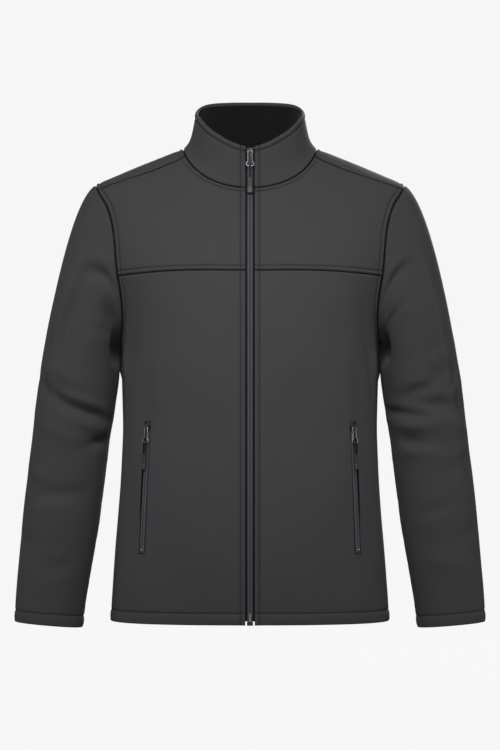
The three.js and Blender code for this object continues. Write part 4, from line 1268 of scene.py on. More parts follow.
def mirrored(side, rows):
    """Points or ways of the wearer's left, as they are for side 1 and with x turned round for side -1."""
    return rows * np.array([side, 1.0, 1.0])


def sleeve_surface(side):
    """The sleeve's outer face and its normal as functions of tau and s, with its folds and creases."""

    def face(tau, s):
        strength = bpy.context.scene.jacket_sizes.crease_strength
        rise = sleeve_folds_of(SLEEVE_FOLDS[side], tau, s)
        rise = rise + strength * sleeve_folds_of(SLEEVE_CREASES[side], tau, s)
        return mirrored(side, sleeve_form(tau, s) + sleeve_normal(tau, s) * rise[..., None])

    def normal(tau, s):
        return mirrored(side, sleeve_normal(tau, s))

    return face, normal


def make_sleeve(side, name):
    """One sleeve: cut flat, joined along the underarm, sewn to the armhole, with a turned-up cuff."""
    look = bpy.context.scene.jacket_sizes
    face, normal = sleeve_surface(side)
    tau = 180 + 360 * steps(0, SLEEVE_ROUND, 4.8) / SLEEVE_ROUND
    over_cap = steps(0, CAP_LONG, 4.6, FINE, (4.6,)) / CAP_LONG
    down_arm = 1 + steps(0, ARM_LONG, 4.8, (4.8,), HEM_FINE) / ARM_LONG
    a, s = np.meshgrid(tau, joined(over_cap, down_arm))
    cuff = HEM_FOLD / ARM_LONG
    thick = mix(CLOTH, HEM_THICK, np.clip((s - (2 - cuff)) / 0.004, 0, 1))
    every = np.linspace(180, 540, 900)
    down = np.linspace(0, 2, 600)
    edges = [
        sewn(face(every, 0 * every), 4),
        sewn(face(180 + 0 * down, down), 8),
        folded(face(every, 0 * every + 2), HEM_THICK, look.hem_stitch, 0.3, 3 * side),
    ]
    return make_cloth(name, Panel(face, normal, edges), a, s, thick, flip=side < 0)


def collar_face(psi, t):
    """The collar's outer face for the looks: the form moved out by soft dents and rises."""
    rise = 0.8 * bump((np.abs(psi) - 150) / 16) * bump((t - 0.45) / 0.3)
    rise = rise - 0.7 * bump((np.abs(psi) - 118) / 12) * bump((t - 0.4) / 0.3)
    rise = rise - 1.6 * bump((np.abs(psi) - 50 + 22 * t) / 7) * bump((t - 0.5) / 0.4)
    rise = rise + 1.2 * bump((np.abs(psi) - 64 + 20 * t) / 7) * bump((t - 0.5) / 0.4)
    return collar_form(psi, t) + collar_normal(psi, t) * rise[..., None]


def make_collar(name):
    """The stand collar: one band round the neck, with a rolled rim and clean front edges beside the zip."""
    look = bpy.context.scene.jacket_sizes
    across = steps(0, 520, 4.6) / 520
    near_rim = (0.3, 0.8, 1.6, 2.6, 3.8, 5.2, 6.3, 7.2, 8, 8.8, 9.8, 11)
    up = through(steps(0, 70, 3.4, (0.25, 0.6, 1.1, 1.8, 2.8, 4.2), near_rim) / 70, LIP)
    psi, t = collar_place(*np.meshgrid(across, up))
    near_edge = np.abs(psi) < collar_psi_at(16.0, t)
    thick = np.where((t >= LIP - 0.001) & ~near_edge, LIP_THICK, CLOTH)
    every = np.linspace(0, 1, 900)
    whole = collar_place(every, 0 * every)[0]
    rim = collar_place(every, 0 * every + 1)[0]
    edges = [
        sewn(collar_face(whole, 0 * whole), 2),
        folded(collar_face(rim, 0 * rim + 1), LIP_THICK, look.rim_stitch, 0.15, 1),
    ]
    side_t = np.linspace(0, 1, 200)
    side_psi = collar_psi_at(EDGE, side_t)
    for side, _ in SIDES:
        edges.append(folded(collar_face(side * side_psi, side_t), CLOTH, look.zip_stitch, 0.1))
    panel = Panel(collar_face, collar_normal, edges)
    return make_cloth(name, panel, psi, t, thick, rolled=t[:-1, :-1] >= LIP - 0.001)


def make_facing(name):
    """The fleece inside the collar, with the small upright rolls that it makes at the inside corners."""
    across = steps(0, 500, 3.4, (1, 2.4), (1, 2.4)) / 500
    up = steps(0, 62, 3.2, (0.8, 2), (0.8, 2)) / 62 * (LIP - 0.012)
    psi, t = collar_place(*np.meshgrid(across, up), edge=15.0)

    def fullness(psi, t):
        """How much further in the inner side stands, by the rolls and the slack between them."""
        size = np.abs(psi)
        rolls = 2.6 * bump((size - 101) / 3.4) + 2.2 * bump((size - 111) / 3) + 1.8 * bump((size - 121) / 3.4)
        rolls = rolls * bump((t - 0.35) / 0.5) * (1 + 0.3 * np.sin(psi * 0.9 + t * 4))
        slack = 1.5 * np.sin(psi * 0.16 + 3 * t) * bump((t - 0.5) / 0.4) * np.clip((size - 125) / 12, 0, 1)
        return rolls + slack

    outer = collar_form(psi, t) - collar_normal(psi, t) * 2.4
    inner = outer - collar_normal(psi, t) * (1.8 + fullness(psi, t))[..., None]
    both, quads, side = shell(outer, inner)
    uv = np.concatenate([lengths(outer).reshape(-1, 2)] * 2)
    piece = write_mesh("cloth_" + name, both, quads, [finish("fleece")], 0 * side, uv)
    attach(piece, "jacket")
    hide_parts(name)
    return piece


def between(values, places):
    """Rows of values read at whole and part rows, by straight mixing of the two nearest."""
    places = np.clip(places, 0, len(values) - 1.000001)
    low = places.astype(int)
    share = (places - low)[:, None]
    return values[low] * (1 - share) + values[low + 1] * share


def smoothed(values, reach):
    """The running mean over 2 reach + 1 rows, with the end rows repeated beyond the ends."""
    wide = np.concatenate([values[:1]] * reach + [values] + [values[-1:]] * reach)
    total = np.concatenate([0 * wide[:1], np.cumsum(wide, 0)])
    span = 2 * reach + 1
    return (total[span:] - total[:-span]) / span


class Track:
    """The cloth's face along a zip, kept as points and normals over even steps along it and across it. Any
    place is read by straight mixing between the four nearest. hand is 1 where across, along and out turn
    right-handed."""

    def __init__(self, along, across, points, normals):
        self.along = along
        self.across = across
        self.points = points
        self.normals = unit(normals)
        turn = np.cross(points[0, 1] - points[0, 0], points[1, 0] - points[0, 0])
        self.hand = float(np.sign((turn * normals[0, 0]).sum() * (across[1] - across[0])))

    def at(self, along, across, depth):
        """Points at a place along and across, and a depth in from the face."""
        along, across, depth = np.broadcast_arrays(*(np.asarray(v, float) for v in (along, across, depth)))
        i = (along - self.along[0]) / (self.along[1] - self.along[0])
        j = (across - self.across[0]) / (self.across[1] - self.across[0])
        i = np.clip(i, 0, len(self.along) - 1.000001)
        j = np.clip(j, 0, len(self.across) - 1.000001)
        i0, j0 = i.astype(int), j.astype(int)
        fi, fj = (i - i0)[..., None], (j - j0)[..., None]

        def read(values):
            low = values[i0, j0] * (1 - fj) + values[i0, j0 + 1] * fj
            high = values[i0 + 1, j0] * (1 - fj) + values[i0 + 1, j0 + 1] * fj
            return low * (1 - fi) + high * fi

        return read(self.points) - unit(read(self.normals)) * depth[..., None]


def front_track():
    """The centre front: along is millimetres above the neck seam, below 0 on the body and above it on the
    collar. The bend at the neck seam is eased by running means."""
    collar_long = float(np.linalg.norm(collar_form(one(5), one(1)) - collar_form(one(5), one(0))))
    along = np.arange(HEM - 2 - NECK_FRONT_Z, collar_long + 2, 1.0)
    across = np.arange(-16.0, 16.1, 2.0) + 0.0005
    q, x = np.meshgrid(along, across, indexing="ij")
    side, size = np.sign(x), np.abs(x)
    z = NECK_FRONT_Z + np.minimum(q, 0)
    t = np.clip(q / collar_long, 0, 1)
    low_psi = side * psi_at(size, z)
    high_psi = side * collar_psi_at(size, t)
    high = (q >= 0)[..., None]
    points = np.where(high, collar_face(high_psi, t), crease_body(low_psi, z))
    normals = np.where(high, collar_normal(high_psi, t), form_normal(low_psi, z))
    return Track(along, across, smoothed(points, 3), smoothed(normals, 7)), collar_long


def pocket_track(side):
    """A pocket zip's line: along is millimetres down from its top end."""
    along = np.arange(-12.0, POCKET_LONG + 12, 1.0)
    across = np.arange(-14.0, 14.1, 2.0) * side
    q, x = np.meshgrid(along, across, indexing="ij")
    places = pocket_point(side, q, x, 0 * q)
    below = pocket_point(side, q, x, 0 * q + 1)
    return Track(along, across, places, places - below)


def tube_faces(count, rings, sides, closed=False):
    """The quads of tubes whose points are numbered tube by tube and ring by ring: the walls, which join on
    themselves where closed, and otherwise a lid on each end."""
    grid = np.arange(count * rings * sides).reshape(count, rings, sides)
    if closed:
        grid = np.concatenate([grid, grid[:, :1]], 1)
    a, d = grid[:, :-1], grid[:, 1:]
    quads = [np.stack([a, np.roll(a, -1, 2), np.roll(d, -1, 2), d], -1).reshape(-1, 4)]
    if not closed:
        pick = np.arange(1, sides - 2, 2)
        for end, turn in ((grid[:, 0], -1), (grid[:, -1], 1)):
            lid = np.stack([end[:, 0 * pick], end[:, pick], end[:, pick + 1], end[:, pick + 2]], -1)
            quads.append(lid[..., ::turn].reshape(-1, 4))
    return np.concatenate(quads)


def tubes(paths, ways, wide, deep, sides=6, closed=False):
    """Round or oval tubes along one or more paths. At each point the section is an oval, wide across the
    given way and deep square to it and to the path. Closed paths join on themselves, and open ones are
    capped."""
    if closed:
        along = np.roll(paths, -1, 1) - np.roll(paths, 1, 1)
    else:
        along = np.gradient(paths, axis=1)
    along = unit(along)
    across = unit(ways - along * (ways * along).sum(-1, keepdims=True))
    out = np.cross(along, across)
    angle = 2 * np.pi * np.arange(sides) / sides
    wide = np.broadcast_to(wide, paths.shape[:2] + (sides,))
    deep = np.broadcast_to(deep, paths.shape[:2] + (sides,))
    section = across[:, :, None] * (wide * np.cos(angle))[..., None]
    section = section + out[:, :, None] * (deep * np.sin(angle))[..., None]
    points = paths[:, :, None] + section
    return points.reshape(-1, 3), tube_faces(*points.shape[:3], closed)


STITCH_GAP = 0.55
STITCH_SINK = 0.45


def stitches(line, normals, pitch, radius):
    """Single stitches along a line on the cloth: each arches out of one needle hole and into the next, with
    a short gap between. Ring by ring the height is the root of the sine, and the thickness falls at both
    ends."""
    step = np.linalg.norm(np.diff(line, axis=0), axis=1)
    far = np.concatenate([[0], np.cumsum(step)])
    count = int(far[-1] / pitch)
    t = np.linspace(0, 1, 6)
    at = (np.arange(count)[:, None] * pitch + STITCH_GAP / 2 + (pitch - STITCH_GAP) * t[None]).ravel()
    place = np.interp(at, far, np.arange(len(far)))
    p = between(line, place).reshape(count, 6, 3)
    n = unit(between(normals, place)).reshape(count, 6, 3)
    rise = radius * (1.25 * np.sqrt(np.sin(np.pi * np.clip(t, 0.02, 0.98))) - STITCH_SINK)
    thick = radius * (0.55 + 0.45 * np.sin(np.pi * t) ** 0.5)
    along = unit(np.gradient(p, axis=1))
    ways = np.cross(n, along)
    return tubes(p + n * rise[None, :, None], ways, thick[None, :, None], 0.8 * thick[None, :, None], 6)


def put_together(parts):
    """Several lists of points, quads and, where given, shades of grooves as one."""
    points, quads, shades, start = [], [], [], 0
    for more, faces, *shade in parts:
        points.append(more)
        quads.append(faces + start)
        shades.append(shade[0] if shade else np.zeros(len(more)))
        start += len(more)
    return np.concatenate(points), np.concatenate(quads), np.concatenate(shades)


def stitch_row(panel, a, b, offset, turn):
    """Where a row of stitches lies: the edge's places a and b moved by the offset, square to the edge and
    along the cloth, found from the surface's slopes; turn says to which side. Returns points on the cloth
    and normals."""
    a, b = np.broadcast_arrays(np.asarray(a, float), np.asarray(b, float))
    small_a, small_b = 0.05 if np.ptp(a) > 3 else 0.01, 0.5 if np.ptp(b) > 3 else 0.005
    p = panel.surface(a, b)
    slope_a = (panel.surface(a + small_a, b) - panel.surface(a - small_a, b)) / (2 * small_a)
    slope_b = (panel.surface(a, b + small_b) - panel.surface(a, b - small_b)) / (2 * small_b)
    along = unit(np.gradient(p, axis=0))
    square = unit(np.cross(np.cross(slope_a, slope_b), along)) * turn
    aa, ab, bb = (slope_a**2).sum(-1), (slope_a * slope_b).sum(-1), (slope_b**2).sum(-1)
    ra, rb = (slope_a * square).sum(-1), (slope_b * square).sum(-1)
    det = aa * bb - ab * ab
    return panel.face(a + offset * (ra * bb - rb * ab) / det, b + offset * (rb * aa - ra * ab) / det)


def write_hardware(name, parts, finish_name, body="jacket", stands_for=()):
    """Puts parts together into one piece that rides on a body and may stand for CAD nodes."""
    points, quads, shade = put_together(parts)
    piece = write_mesh(name, points, quads, [finish(finish_name)], shade=shade)
    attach(piece, body)
    if stands_for:
        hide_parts(*stands_for)
    return piece


# Half of the zip's section, as distance from its middle and depth in from the cloth: the face over the coil, a
# step down, and the flat tape that runs under the cloth
CHAIN_FACE = (
    (0.2, 1.9), (0.3, 1.35), (0.6, 1.05), (1.1, 0.9), (1.8, 0.84), (2.6, 0.86), (3.2, 0.98), (3.7, 1.2),
    (4.05, 1.6), (4.2, 2.1), (4.45, 2.35), (5.2, 2.4), (6.4, 2.4), (8.0, 2.4),
)


# Half-widths of the zips' tapes under the cloth, the front tape's foot, and the share of the collar it goes up
FRONT_TAPE = 14.2
POCKET_TAPE = 10.0
TAPE_FOOT = -722.0
TAPE_TOP = 0.84


def zip_half(track, side, start, end, flange):
    """One half of a zip's tape: its section carried along, with fine cross ribs over the coil's turns, and
    painted shade on the flange beside the chain and in the middle gap.
    """
    look = bpy.context.scene.jacket_sizes
    profile = np.array(CHAIN_FACE + ((flange, 2.45),))
    along = np.arange(start, end, look.coil_pitch / 4)
    ribs = 0.06 * np.cos(2 * np.pi * along / look.coil_pitch)
    over = np.clip((4.0 - profile[:, 0]) / 0.6, 0, 1)
    rows = 0.05 * bump((profile[:, 0] - 1.1) / 0.3) + 0.05 * bump((profile[:, 0] - 3.2) / 0.3)
    depth = profile[:, 1][None] + ribs[:, None] * over[None] + rows[None]
    back = np.where(profile[:, 0] < 4.4, profile[:, 1] + 0.7, 3.05)
    across = np.broadcast_to(profile[:, 0] * side, depth.shape)
    outer = track.at(along[:, None], across, depth)
    inner = track.at(along[:, None], across, np.broadcast_to(back, depth.shape))
    turn = 1 if side * track.hand > 0 else -1
    outer, inner = outer[:, ::turn], inner[:, ::turn]
    # painted shade: darker on the flange that lies in the gap under the cloth's edge, and along the middle gap
    shade = np.clip((profile[:, 0] - 4.0) / 0.4, 0, 1) + np.clip((0.5 - profile[:, 0]) / 0.2, 0, 1)
    shade = np.broadcast_to(shade[::turn], depth.shape).ravel()
    points, quads, _ = shell(outer, inner)
    return points, quads, np.concatenate([shade, 0 * shade])


def coil_half(track, side, start, end):
    """One half of the coil behind the tape: a flattened helix, the other half's set half a turn on."""
    look = bpy.context.scene.jacket_sizes
    turns = (end - start) / look.coil_pitch
    s = np.linspace(0, turns, int(turns * 10))
    angle = 2 * np.pi * s + (0 if side > 0 else np.pi)
    along = start + s * look.coil_pitch
    across = side * (2.0 - 1.75 * np.cos(angle))
    path = track.at(along, across, 2.9 + 0.75 * np.sin(angle))
    up = np.gradient(track.at(along, 0 * along + 2 * side, 0 * along + 2.9), axis=0)
    return tubes(path[None], up[None], 0.3, 0.3, 4)


def stitched_bar(track, along):
    """A bar of close satin stitches across a zip's end: threads 2.4 mm long side by side, each arched."""
    x = np.arange(-5.7, 5.71, 0.46)[:, None]
    t = np.linspace(-0.5, 0.5, 5)[None]
    path = track.at(along + 2.4 * t, x, 1.1 * t**2 - 0.3)
    ways = np.gradient(path, axis=0)
    return tubes(path, ways, 0.27, 0.22, 6)


def rounded_bar(track, along, across, depth, long, wide, deep):
    """A small moulded stop: an oval tube across the zip, its section rounded off at both ends."""
    t = np.linspace(-1, 1, 13)
    size = np.maximum(1 - np.abs(t) ** 5, 0.05) ** 0.4
    path = track.at(along + 0 * t, across + t * wide / 2, depth + 0 * t)[None]
    ways = track.at(along + 0 * t + 1, across + t * wide / 2, depth + 0 * t)[None] - path
    return tubes(path, ways, (long / 2 * size)[None, :, None], (deep / 2 * size)[None, :, None], 10)


class Seat:
    """A place on the jacket with its own ways across, up and out."""

    def __init__(self, place, across, up):
        up = unit(up)
        self.place = place
        self.out = unit(np.cross(across, up))
        self.ways = np.stack([np.cross(up, self.out), up, self.out])

    def put(self, points):
        """Points given across, up and out from the place, as points of the jacket."""
        return self.place + points @ self.ways

    def hung(self, foot):
        """The seat of the pull that hangs from this slider towards its foot."""
        pivot = self.place + self.out * PIVOT
        up = unit(pivot - foot)
        across = unit(np.cross(up, self.out))
        out = unit(np.cross(across, up))
        return Seat(pivot - out * PIVOT, across, up)


def front_seat():
    """Where the main slider sits, near the top of the collar."""

    def at(t):
        return collar_form(collar_psi_at(one(0.001), one(t)), one(t))[0]

    return Seat(at(0.88), np.array([1.0, 0.0, 0.0]), at(0.97) - at(0.7))


def pocket_seat(side):
    """Where a pocket slider sits, near the top of its zip."""

    def at(along, x=0.0):
        return pocket_point(side, one(along), one(x), one(0))[0]

    return Seat(at(10), at(10, 5 * side) - at(10, -5 * side), at(2) - at(34))


def pull_seats():
    """The seats of the three sliders, and of the pulls that hang from them."""
    front = front_seat()
    psi = psi_at(one(0.001), one(-71))
    foot = (body(psi, one(-71)) + form_normal(psi, one(-71)) * (PIVOT + 1))[0]
    seats = {"front": (front, front.hung(foot))}
    for side, word in SIDES:
        seat = pocket_seat(side)
        seats[word] = (seat, seat.hung(pocket_point(side, one(55), one(0), one(-PIVOT - 0.7))[0]))
    return seats


def closed_curve(rows, count):
    """A smooth closed line through rows: the cubic whose slopes are half the step between neighbours."""
    rows = np.asarray(rows, float)
    t = np.linspace(0, len(rows), count, endpoint=False)
    i = t.astype(int)
    t = (t - i)[:, None]
    p0, p1, p2, p3 = (rows[(i + k) % len(rows)] for k in (-1, 0, 1, 2))
    square = 2 * p0 - 5 * p1 + 4 * p2 - p3
    cube = 3 * p1 - p0 - 3 * p2 + p3
    return 0.5 * (2 * p1 + (p2 - p0) * t + square * t**2 + cube * t**3)


FRAME_LINE = (
    (-2.6, 0), (0, 0), (2.6, 0), (3.3, -0.8), (3.35, -6), (3.4, -14), (3.6, -16.2), (5.2, -18.2), (5.9, -20.1),
    (5.3, -21.8), (3.6, -22.8), (0, -23.0), (-3.6, -22.8), (-5.3, -21.8), (-5.9, -20.1), (-5.2, -18.2),
    (-3.6, -16.2), (-3.4, -14), (-3.35, -6), (-3.3, -0.8),
)
FRAME_FOOT = -23.0
WIRE_RADIUS = 0.72
CORD_WIDE = 1.3
CORD_DEEP = 0.46
CORD_BEND = 1.42
GRIP_DEEP = 1.75

# The grips' top and end, up from the pivot, and their width
FRONT_GRIP = (-41.2, -65.2, 8.9)
POCKET_GRIP = (-40.5, -63.5, 7.4)


def wire_frame(seat):
    """The pull's frame: a round wire bent to a narrow loop with a wider eye at its foot."""
    line = closed_curve(FRAME_LINE, 160)
    path = np.concatenate([line, np.full((len(line), 1), PIVOT)], 1)
    ways = np.broadcast_to([0.0, 0.0, 1.0], (1, len(line), 3))
    points, quads = tubes(path[None], ways, WIRE_RADIUS, WIRE_RADIUS, 12, closed=True)
    return seat.put(points), quads


def pull_cord(seat, top):
    """The cord's loop: up behind the frame's foot, over it and down in front, both legs held in the grip.
    Its section is a flat oval, raised and sunk by two waves that run round it opposite ways, as plaited
    yarns do."""
    angle = np.radians(np.linspace(0, 180, 25))
    legs = np.linspace(top - 2.6, FRAME_FOOT, 46)[:-1]
    lean = np.clip((FRAME_FOOT - legs) / 6, 0, 1)
    leg_z = mix(CORD_BEND, 0.62, lean**2 * (3 - 2 * lean))
    y = np.concatenate([legs, FRAME_FOOT + 1.9 * np.sin(angle), legs[::-1]])
    z = np.concatenate([leg_z, CORD_BEND * np.cos(angle), -leg_z[::-1]]) + PIVOT
    far = np.concatenate([[0], np.cumsum(np.hypot(np.diff(y), np.diff(z)))])
    even = np.linspace(0, far[-1], int(far[-1] / 0.22))
    path = np.stack([0 * even, np.interp(even, far, y), np.interp(even, far, z)], -1)
    sides = 20
    round_ = 2 * np.pi * np.arange(sides) / sides
    turn = 2 * np.pi * even[:, None] / 2.2
    plait = 0.09 * np.sin(5 * round_[None] + turn) * np.sin(5 * round_[None] - turn)
    ways = np.broadcast_to([1.0, 0.0, 0.0], path.shape)[None]
    points, quads = tubes(path[None], ways, CORD_WIDE + plait[None], CORD_DEEP + plait[None], sides)
    return seat.put(points), quads


def pull_grip(seat, top, end, wide, part):
    """The moulded grip: rounded sections whose width and depth follow its length, with a shallow channel
    down the middle of the shank and cross ribs on the foot. part picks the shank (0) or the thicker foot
    (1)."""
    width = table((0, 0.6), (0.03, 0.76), (0.08, 0.85), (0.3, 0.9), (0.6, 0.92), (0.66, 0.92), (1, 0.92))
    foot = table((0.62, 0.94), (0.66, 0.985), (0.7, 1.0), (0.95, 1.0), (0.975, 0.97), (0.99, 0.9), (1, 0.78))
    deep = table((0, 0.55), (0.04, 0.72), (0.1, 0.84), (0.3, 0.92), (0.62, 0.95), (1, 0.95))
    if part:
        t = joined(np.linspace(0.62, 0.7, 14), np.linspace(0.7, 0.93, 22), np.linspace(0.93, 1, 14))
        w, d = foot(t), foot(t)
    else:
        t = joined(np.linspace(0, 0.1, 12), np.linspace(0.1, 0.66, 50))
        w, d = width(t) * (1.07 if wide > 8 else 1.0), deep(t)
    sides = 48
    angle = 2 * np.pi * np.arange(sides) / sides
    cos = np.sign(np.cos(angle)) * np.abs(np.cos(angle)) ** 0.62
    sin = np.sign(np.sin(angle)) * np.abs(np.sin(angle)) ** 0.62
    x = wide / 2 * w[:, None] * cos
    z = PIVOT + GRIP_DEEP * d[:, None] * sin
    if not part:
        reach = np.clip((t - 0.08) / 0.05, 0, 1)[:, None] * np.clip((0.6 - t) / 0.05, 0, 1)[:, None]
        z = z - 0.22 * bump(x / 0.35) * reach * np.sign(sin)
    else:
        ribbed = ((t > 0.7) & (t < 0.93))[:, None] * (np.abs(sin) > 0.8)
        z = z - 0.16 * (0.5 + 0.5 * np.cos(2 * np.pi * (t[:, None] - 0.7) / 0.047)) * ribbed * np.sign(sin)
    y = np.broadcast_to((top - t * (top - end))[:, None], x.shape)
    points = np.stack([x, y, z], -1)
    return seat.put(points.reshape(-1, 3)), tube_faces(1, len(t), sides)


def eased_copy(node, name, finish_name, width, body="jacket"):
    """A copy of a CAD node with its loose triangles merged and its edges rounded."""
    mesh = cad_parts[node].data.copy()
    work = bmesh.new()
    work.from_mesh(mesh)
    bmesh.ops.remove_doubles(work, verts=work.verts, dist=0.00001)
    bmesh.ops.dissolve_limit(work, angle_limit=math.radians(1.5), verts=work.verts, edges=work.edges)
    work.to_mesh(mesh)
    work.free()
    mesh.materials.clear()
    mesh.materials.append(finish(finish_name))
    piece = bpy.data.objects.new(name, mesh)
    bpy.context.scene.collection.objects.link(piece)
    bevel = piece.modifiers.new("eased edges", "BEVEL")
    bevel.width = width * MM
    bevel.segments = 3
    bevel.limit_method = "ANGLE"
    bevel.angle_limit = math.radians(30)
    bevel.use_clamp_overlap = True
    mesh.polygons.foreach_set("use_smooth", np.ones(len(mesh.polygons), bool))
    weighted = piece.modifiers.new("even shading", "WEIGHTED_NORMAL")
    weighted.keep_sharp = True
    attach(piece, body)
    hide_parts(node)
    return piece


def band(rows, ways, thick=0.8):
    """A narrow band behind a seam: a closed skin through rows of points, thickened inwards along the ways."""
    outer = np.stack(rows)
    inner = outer - np.stack(ways) * thick
    normal = np.cross(outer[0, 1] - outer[0, 0], outer[1, 0] - outer[0, 0])
    if (normal * ways[0][0]).sum() < 0:
        outer, inner = outer[:, ::-1], inner[:, ::-1]
    points, quads, _ = shell(outer, inner)
    return points, quads


def armhole_band(side):
    """The bound seam inside an armhole: from 6 mm inside the body's cloth, past the seam, to 6 mm down the
    sleeve."""
    tau = np.linspace(0, 360, 361)
    angle = np.radians(tau)
    seam = armhole(tau)
    rows, ways = [], []
    seam_way = unit(form_normal(*seam) + sleeve_normal(tau, 0 * tau + 0.01))
    for wide in (6.5, 3.5):
        psi = 90 - (ARMHOLE_PSI + wide / 3.5) * np.sin(angle)
        z = ARMHOLE_MIDDLE + (ARMHOLE_TALL + wide) * np.cos(angle)
        n = form_normal(psi, z)
        rows.append(crease_body(psi, z) - n * 2.5)
        ways.append(n)
    rows.append(body(*seam) - seam_way * 2.6)
    ways.append(seam_way)
    face, _ = sleeve_surface(1)
    for wide in (3.5, 6.5):
        s = 0 * tau + wide / CAP_LONG
        n = sleeve_normal(tau, s)
        rows.append(face(tau, s) - n * 2.5)
        ways.append(n)
    return band([mirrored(side, row) for row in rows], [mirrored(side, way) for way in ways])


def flat_band(side, psi, z):
    """A bound seam that lies flat inside the body, along places psi and z."""
    p = crease_body(psi, z)
    n = form_normal(psi, z)
    square = unit(np.cross(n, np.gradient(p, axis=0)))
    rows = [mirrored(side, p + square * wide - n * 2.55) for wide in (-4.5, 0, 4.5)]
    return band(rows, [mirrored(side, n)] * 3)


def millimetres(name, description, default, low, high):
    """A length of the make."""
    description = description + ", in millimetres"
    return bpy.props.FloatProperty(name=name, description=description, default=default, min=low, max=high)


def fraction(name, description, default, high=1.0):
    """A part of the whole, from nothing up to high."""
    return bpy.props.FloatProperty(
        name=name, description=description, default=default, min=0.0, max=high, subtype="FACTOR")


def tint(name, description, red, green, blue):
    """A colour in linear light."""
    return bpy.props.FloatVectorProperty(
        name=name, description=description, default=(red, green, blue, 1.0), size=4, subtype="COLOR", min=0.0,
        max=1.0)


def watts(name, description, default):
    """A light's power."""
    return bpy.props.FloatProperty(
        name=name, description=description + ", in watts", default=default, min=0.0, max=2000.0, unit="POWER")


def metres(name, description, default, low, high):
    """A length of the studio."""
    return bpy.props.FloatProperty(
        name=name, description=description, default=default, min=low, max=high, unit="LENGTH")


class JacketSizes(bpy.types.PropertyGroup):
    """Sizes of the make, in millimetres unless a unit says otherwise."""

    seam_turn: millimetres("Seam turn", "How deep the cloth turns in at a sewn seam", 1.7, 0.0, 2.5)
    seam_wide: millimetres("Seam width", "How far from a seam the cloth starts to turn in", 1.5, 0.5, 5.0)
    pucker: millimetres("Pucker", "Height of the small waves along a seam", 0.32, 0.0, 2.0)
    stitch_trough: millimetres("Stitch trough", "How deep topstitching pulls the cloth in", 1.0, 0.0, 2.0)
    trough_wide: millimetres("Trough width", "Half-width of the pulled-in trough", 1.5, 0.5, 5.0)
    armhole_stitch: millimetres(
        "Armhole stitching", "From the armhole seam to its topstitching", 7.3, 2.0, 12.0)
    chest_stitch: millimetres("Chest stitching", "From the chest seam to its topstitching", 7.3, 2.0, 12.0)
    neck_stitch: millimetres("Neck stitching", "From the collar seam to its topstitching", 6.5, 2.0, 12.0)
    zip_stitch: millimetres(
        "Zip stitching", "From the front edge to the row that holds the zip", 7.2, 2.0, 12.0)
    rim_stitch: millimetres("Rim stitching", "From the collar's rim to its topstitching", 8.0, 2.0, 12.0)
    hem_stitch: millimetres(
        "Hem stitching", "From the hem's or cuff's edge to its stitching", 18.0, 8.0, 40.0)
    stitch_pitch: millimetres("Stitch pitch", "From one stitch to the next", 3.2, 1.5, 6.0)
    thread_radius: millimetres("Thread radius", "Half the thickness of the sewing thread", 0.24, 0.1, 0.6)
    coil_pitch: millimetres("Coil pitch", "From one turn of the zips' coils to the next", 1.27, 0.8, 3.0)
    crease_strength: fraction("Crease strength", "How strongly the finer creases show", 1.4, 2.0)


class JacketColours(bpy.types.PropertyGroup):
    """Colours of the finishes."""

    softshell: tint("Softshell", "The outer cloth", 0.064, 0.064, 0.0675)
    fleece: tint("Fleece", "The brushed inner face", 0.0115, 0.0115, 0.012)
    tape: tint("Zip tape", "The zips' woven tape and coils", 0.092, 0.09, 0.107)
    thread: tint("Thread", "The topstitching thread", 0.028, 0.028, 0.03)
    slider: tint("Sliders", "The sliders' plating", 0.06, 0.06, 0.065)
    slider_rubbed: tint("Rubbed sliders", "The sliders where they are rubbed", 0.4, 0.4, 0.41)
    wire: tint("Wire", "The pulls' wire frames", 0.38, 0.38, 0.385)
    cord: tint("Cord", "The pulls' cords", 0.022, 0.022, 0.024)
    grip: tint("Grips", "The pulls' moulded grips", 0.034, 0.034, 0.037)
    grip_foot: tint("Grip feet", "The grips' thicker feet", 0.047, 0.047, 0.05)
    # painted shade: how much darker the cloth's colour is painted in its seams and stitch troughs
    painted_shade_strength: fraction(
        "Groove shade", "How much darker the cloth is down in its seams and stitch troughs", 0.99)


class StudioLook(bpy.types.PropertyGroup):
    """The photographer's studio."""

    camera_distance: metres("Camera distance", "From the camera to the middle of the jacket", 5.0, 2.0, 20.0)
    camera_height: metres("Camera height", "Height of the camera in the jacket's frame", -0.349, -1.0, 1.0)
    lens: bpy.props.FloatProperty(
        name="Lens", description="Focal length over the long side of a 36 mm frame, in millimetres",
        default=154.8, min=30.0, max=400.0)
    paper: tint("Paper", "The pale backdrop", 0.922, 0.922, 0.922)
    key_power: watts("Key light", "Power of the large soft light above the front", 55.0)
    front_power: watts("Front light", "Power of the gridded light beside the camera", 0.22)
    back_power: watts("Back light", "Power of the soft light behind", 90.0)
    fill_power: watts("Fill light", "Power of each soft side light", 17.0)
    sky: bpy.props.FloatProperty(
        name="Sky", description="Brightness of the even light from all round",
        default=0.035, min=0.0, max=5.0)
    floor_height: metres("Floor height", "Height of the paper in the jacket's frame", -0.99, -3.0, -0.83)


def area_light(name, place, aim, size, power, spread=180.0):
    """A rectangular soft light at a place, turned to face another; a grid on it narrows its spread, in
    degrees."""
    light = bpy.data.lights.new(name, "AREA")
    light.shape = "RECTANGLE"
    light.size, light.size_y = size
    light.energy = power
    light.spread = math.radians(spread)
    lamp = bpy.data.objects.new(name, light)
    bpy.context.scene.collection.objects.link(lamp)
    lamp.location = place
    direction = mathutils.Vector(aim) - mathutils.Vector(place)
    lamp.rotation_euler = direction.to_track_quat("-Z", "Y").to_euler()
    return lamp


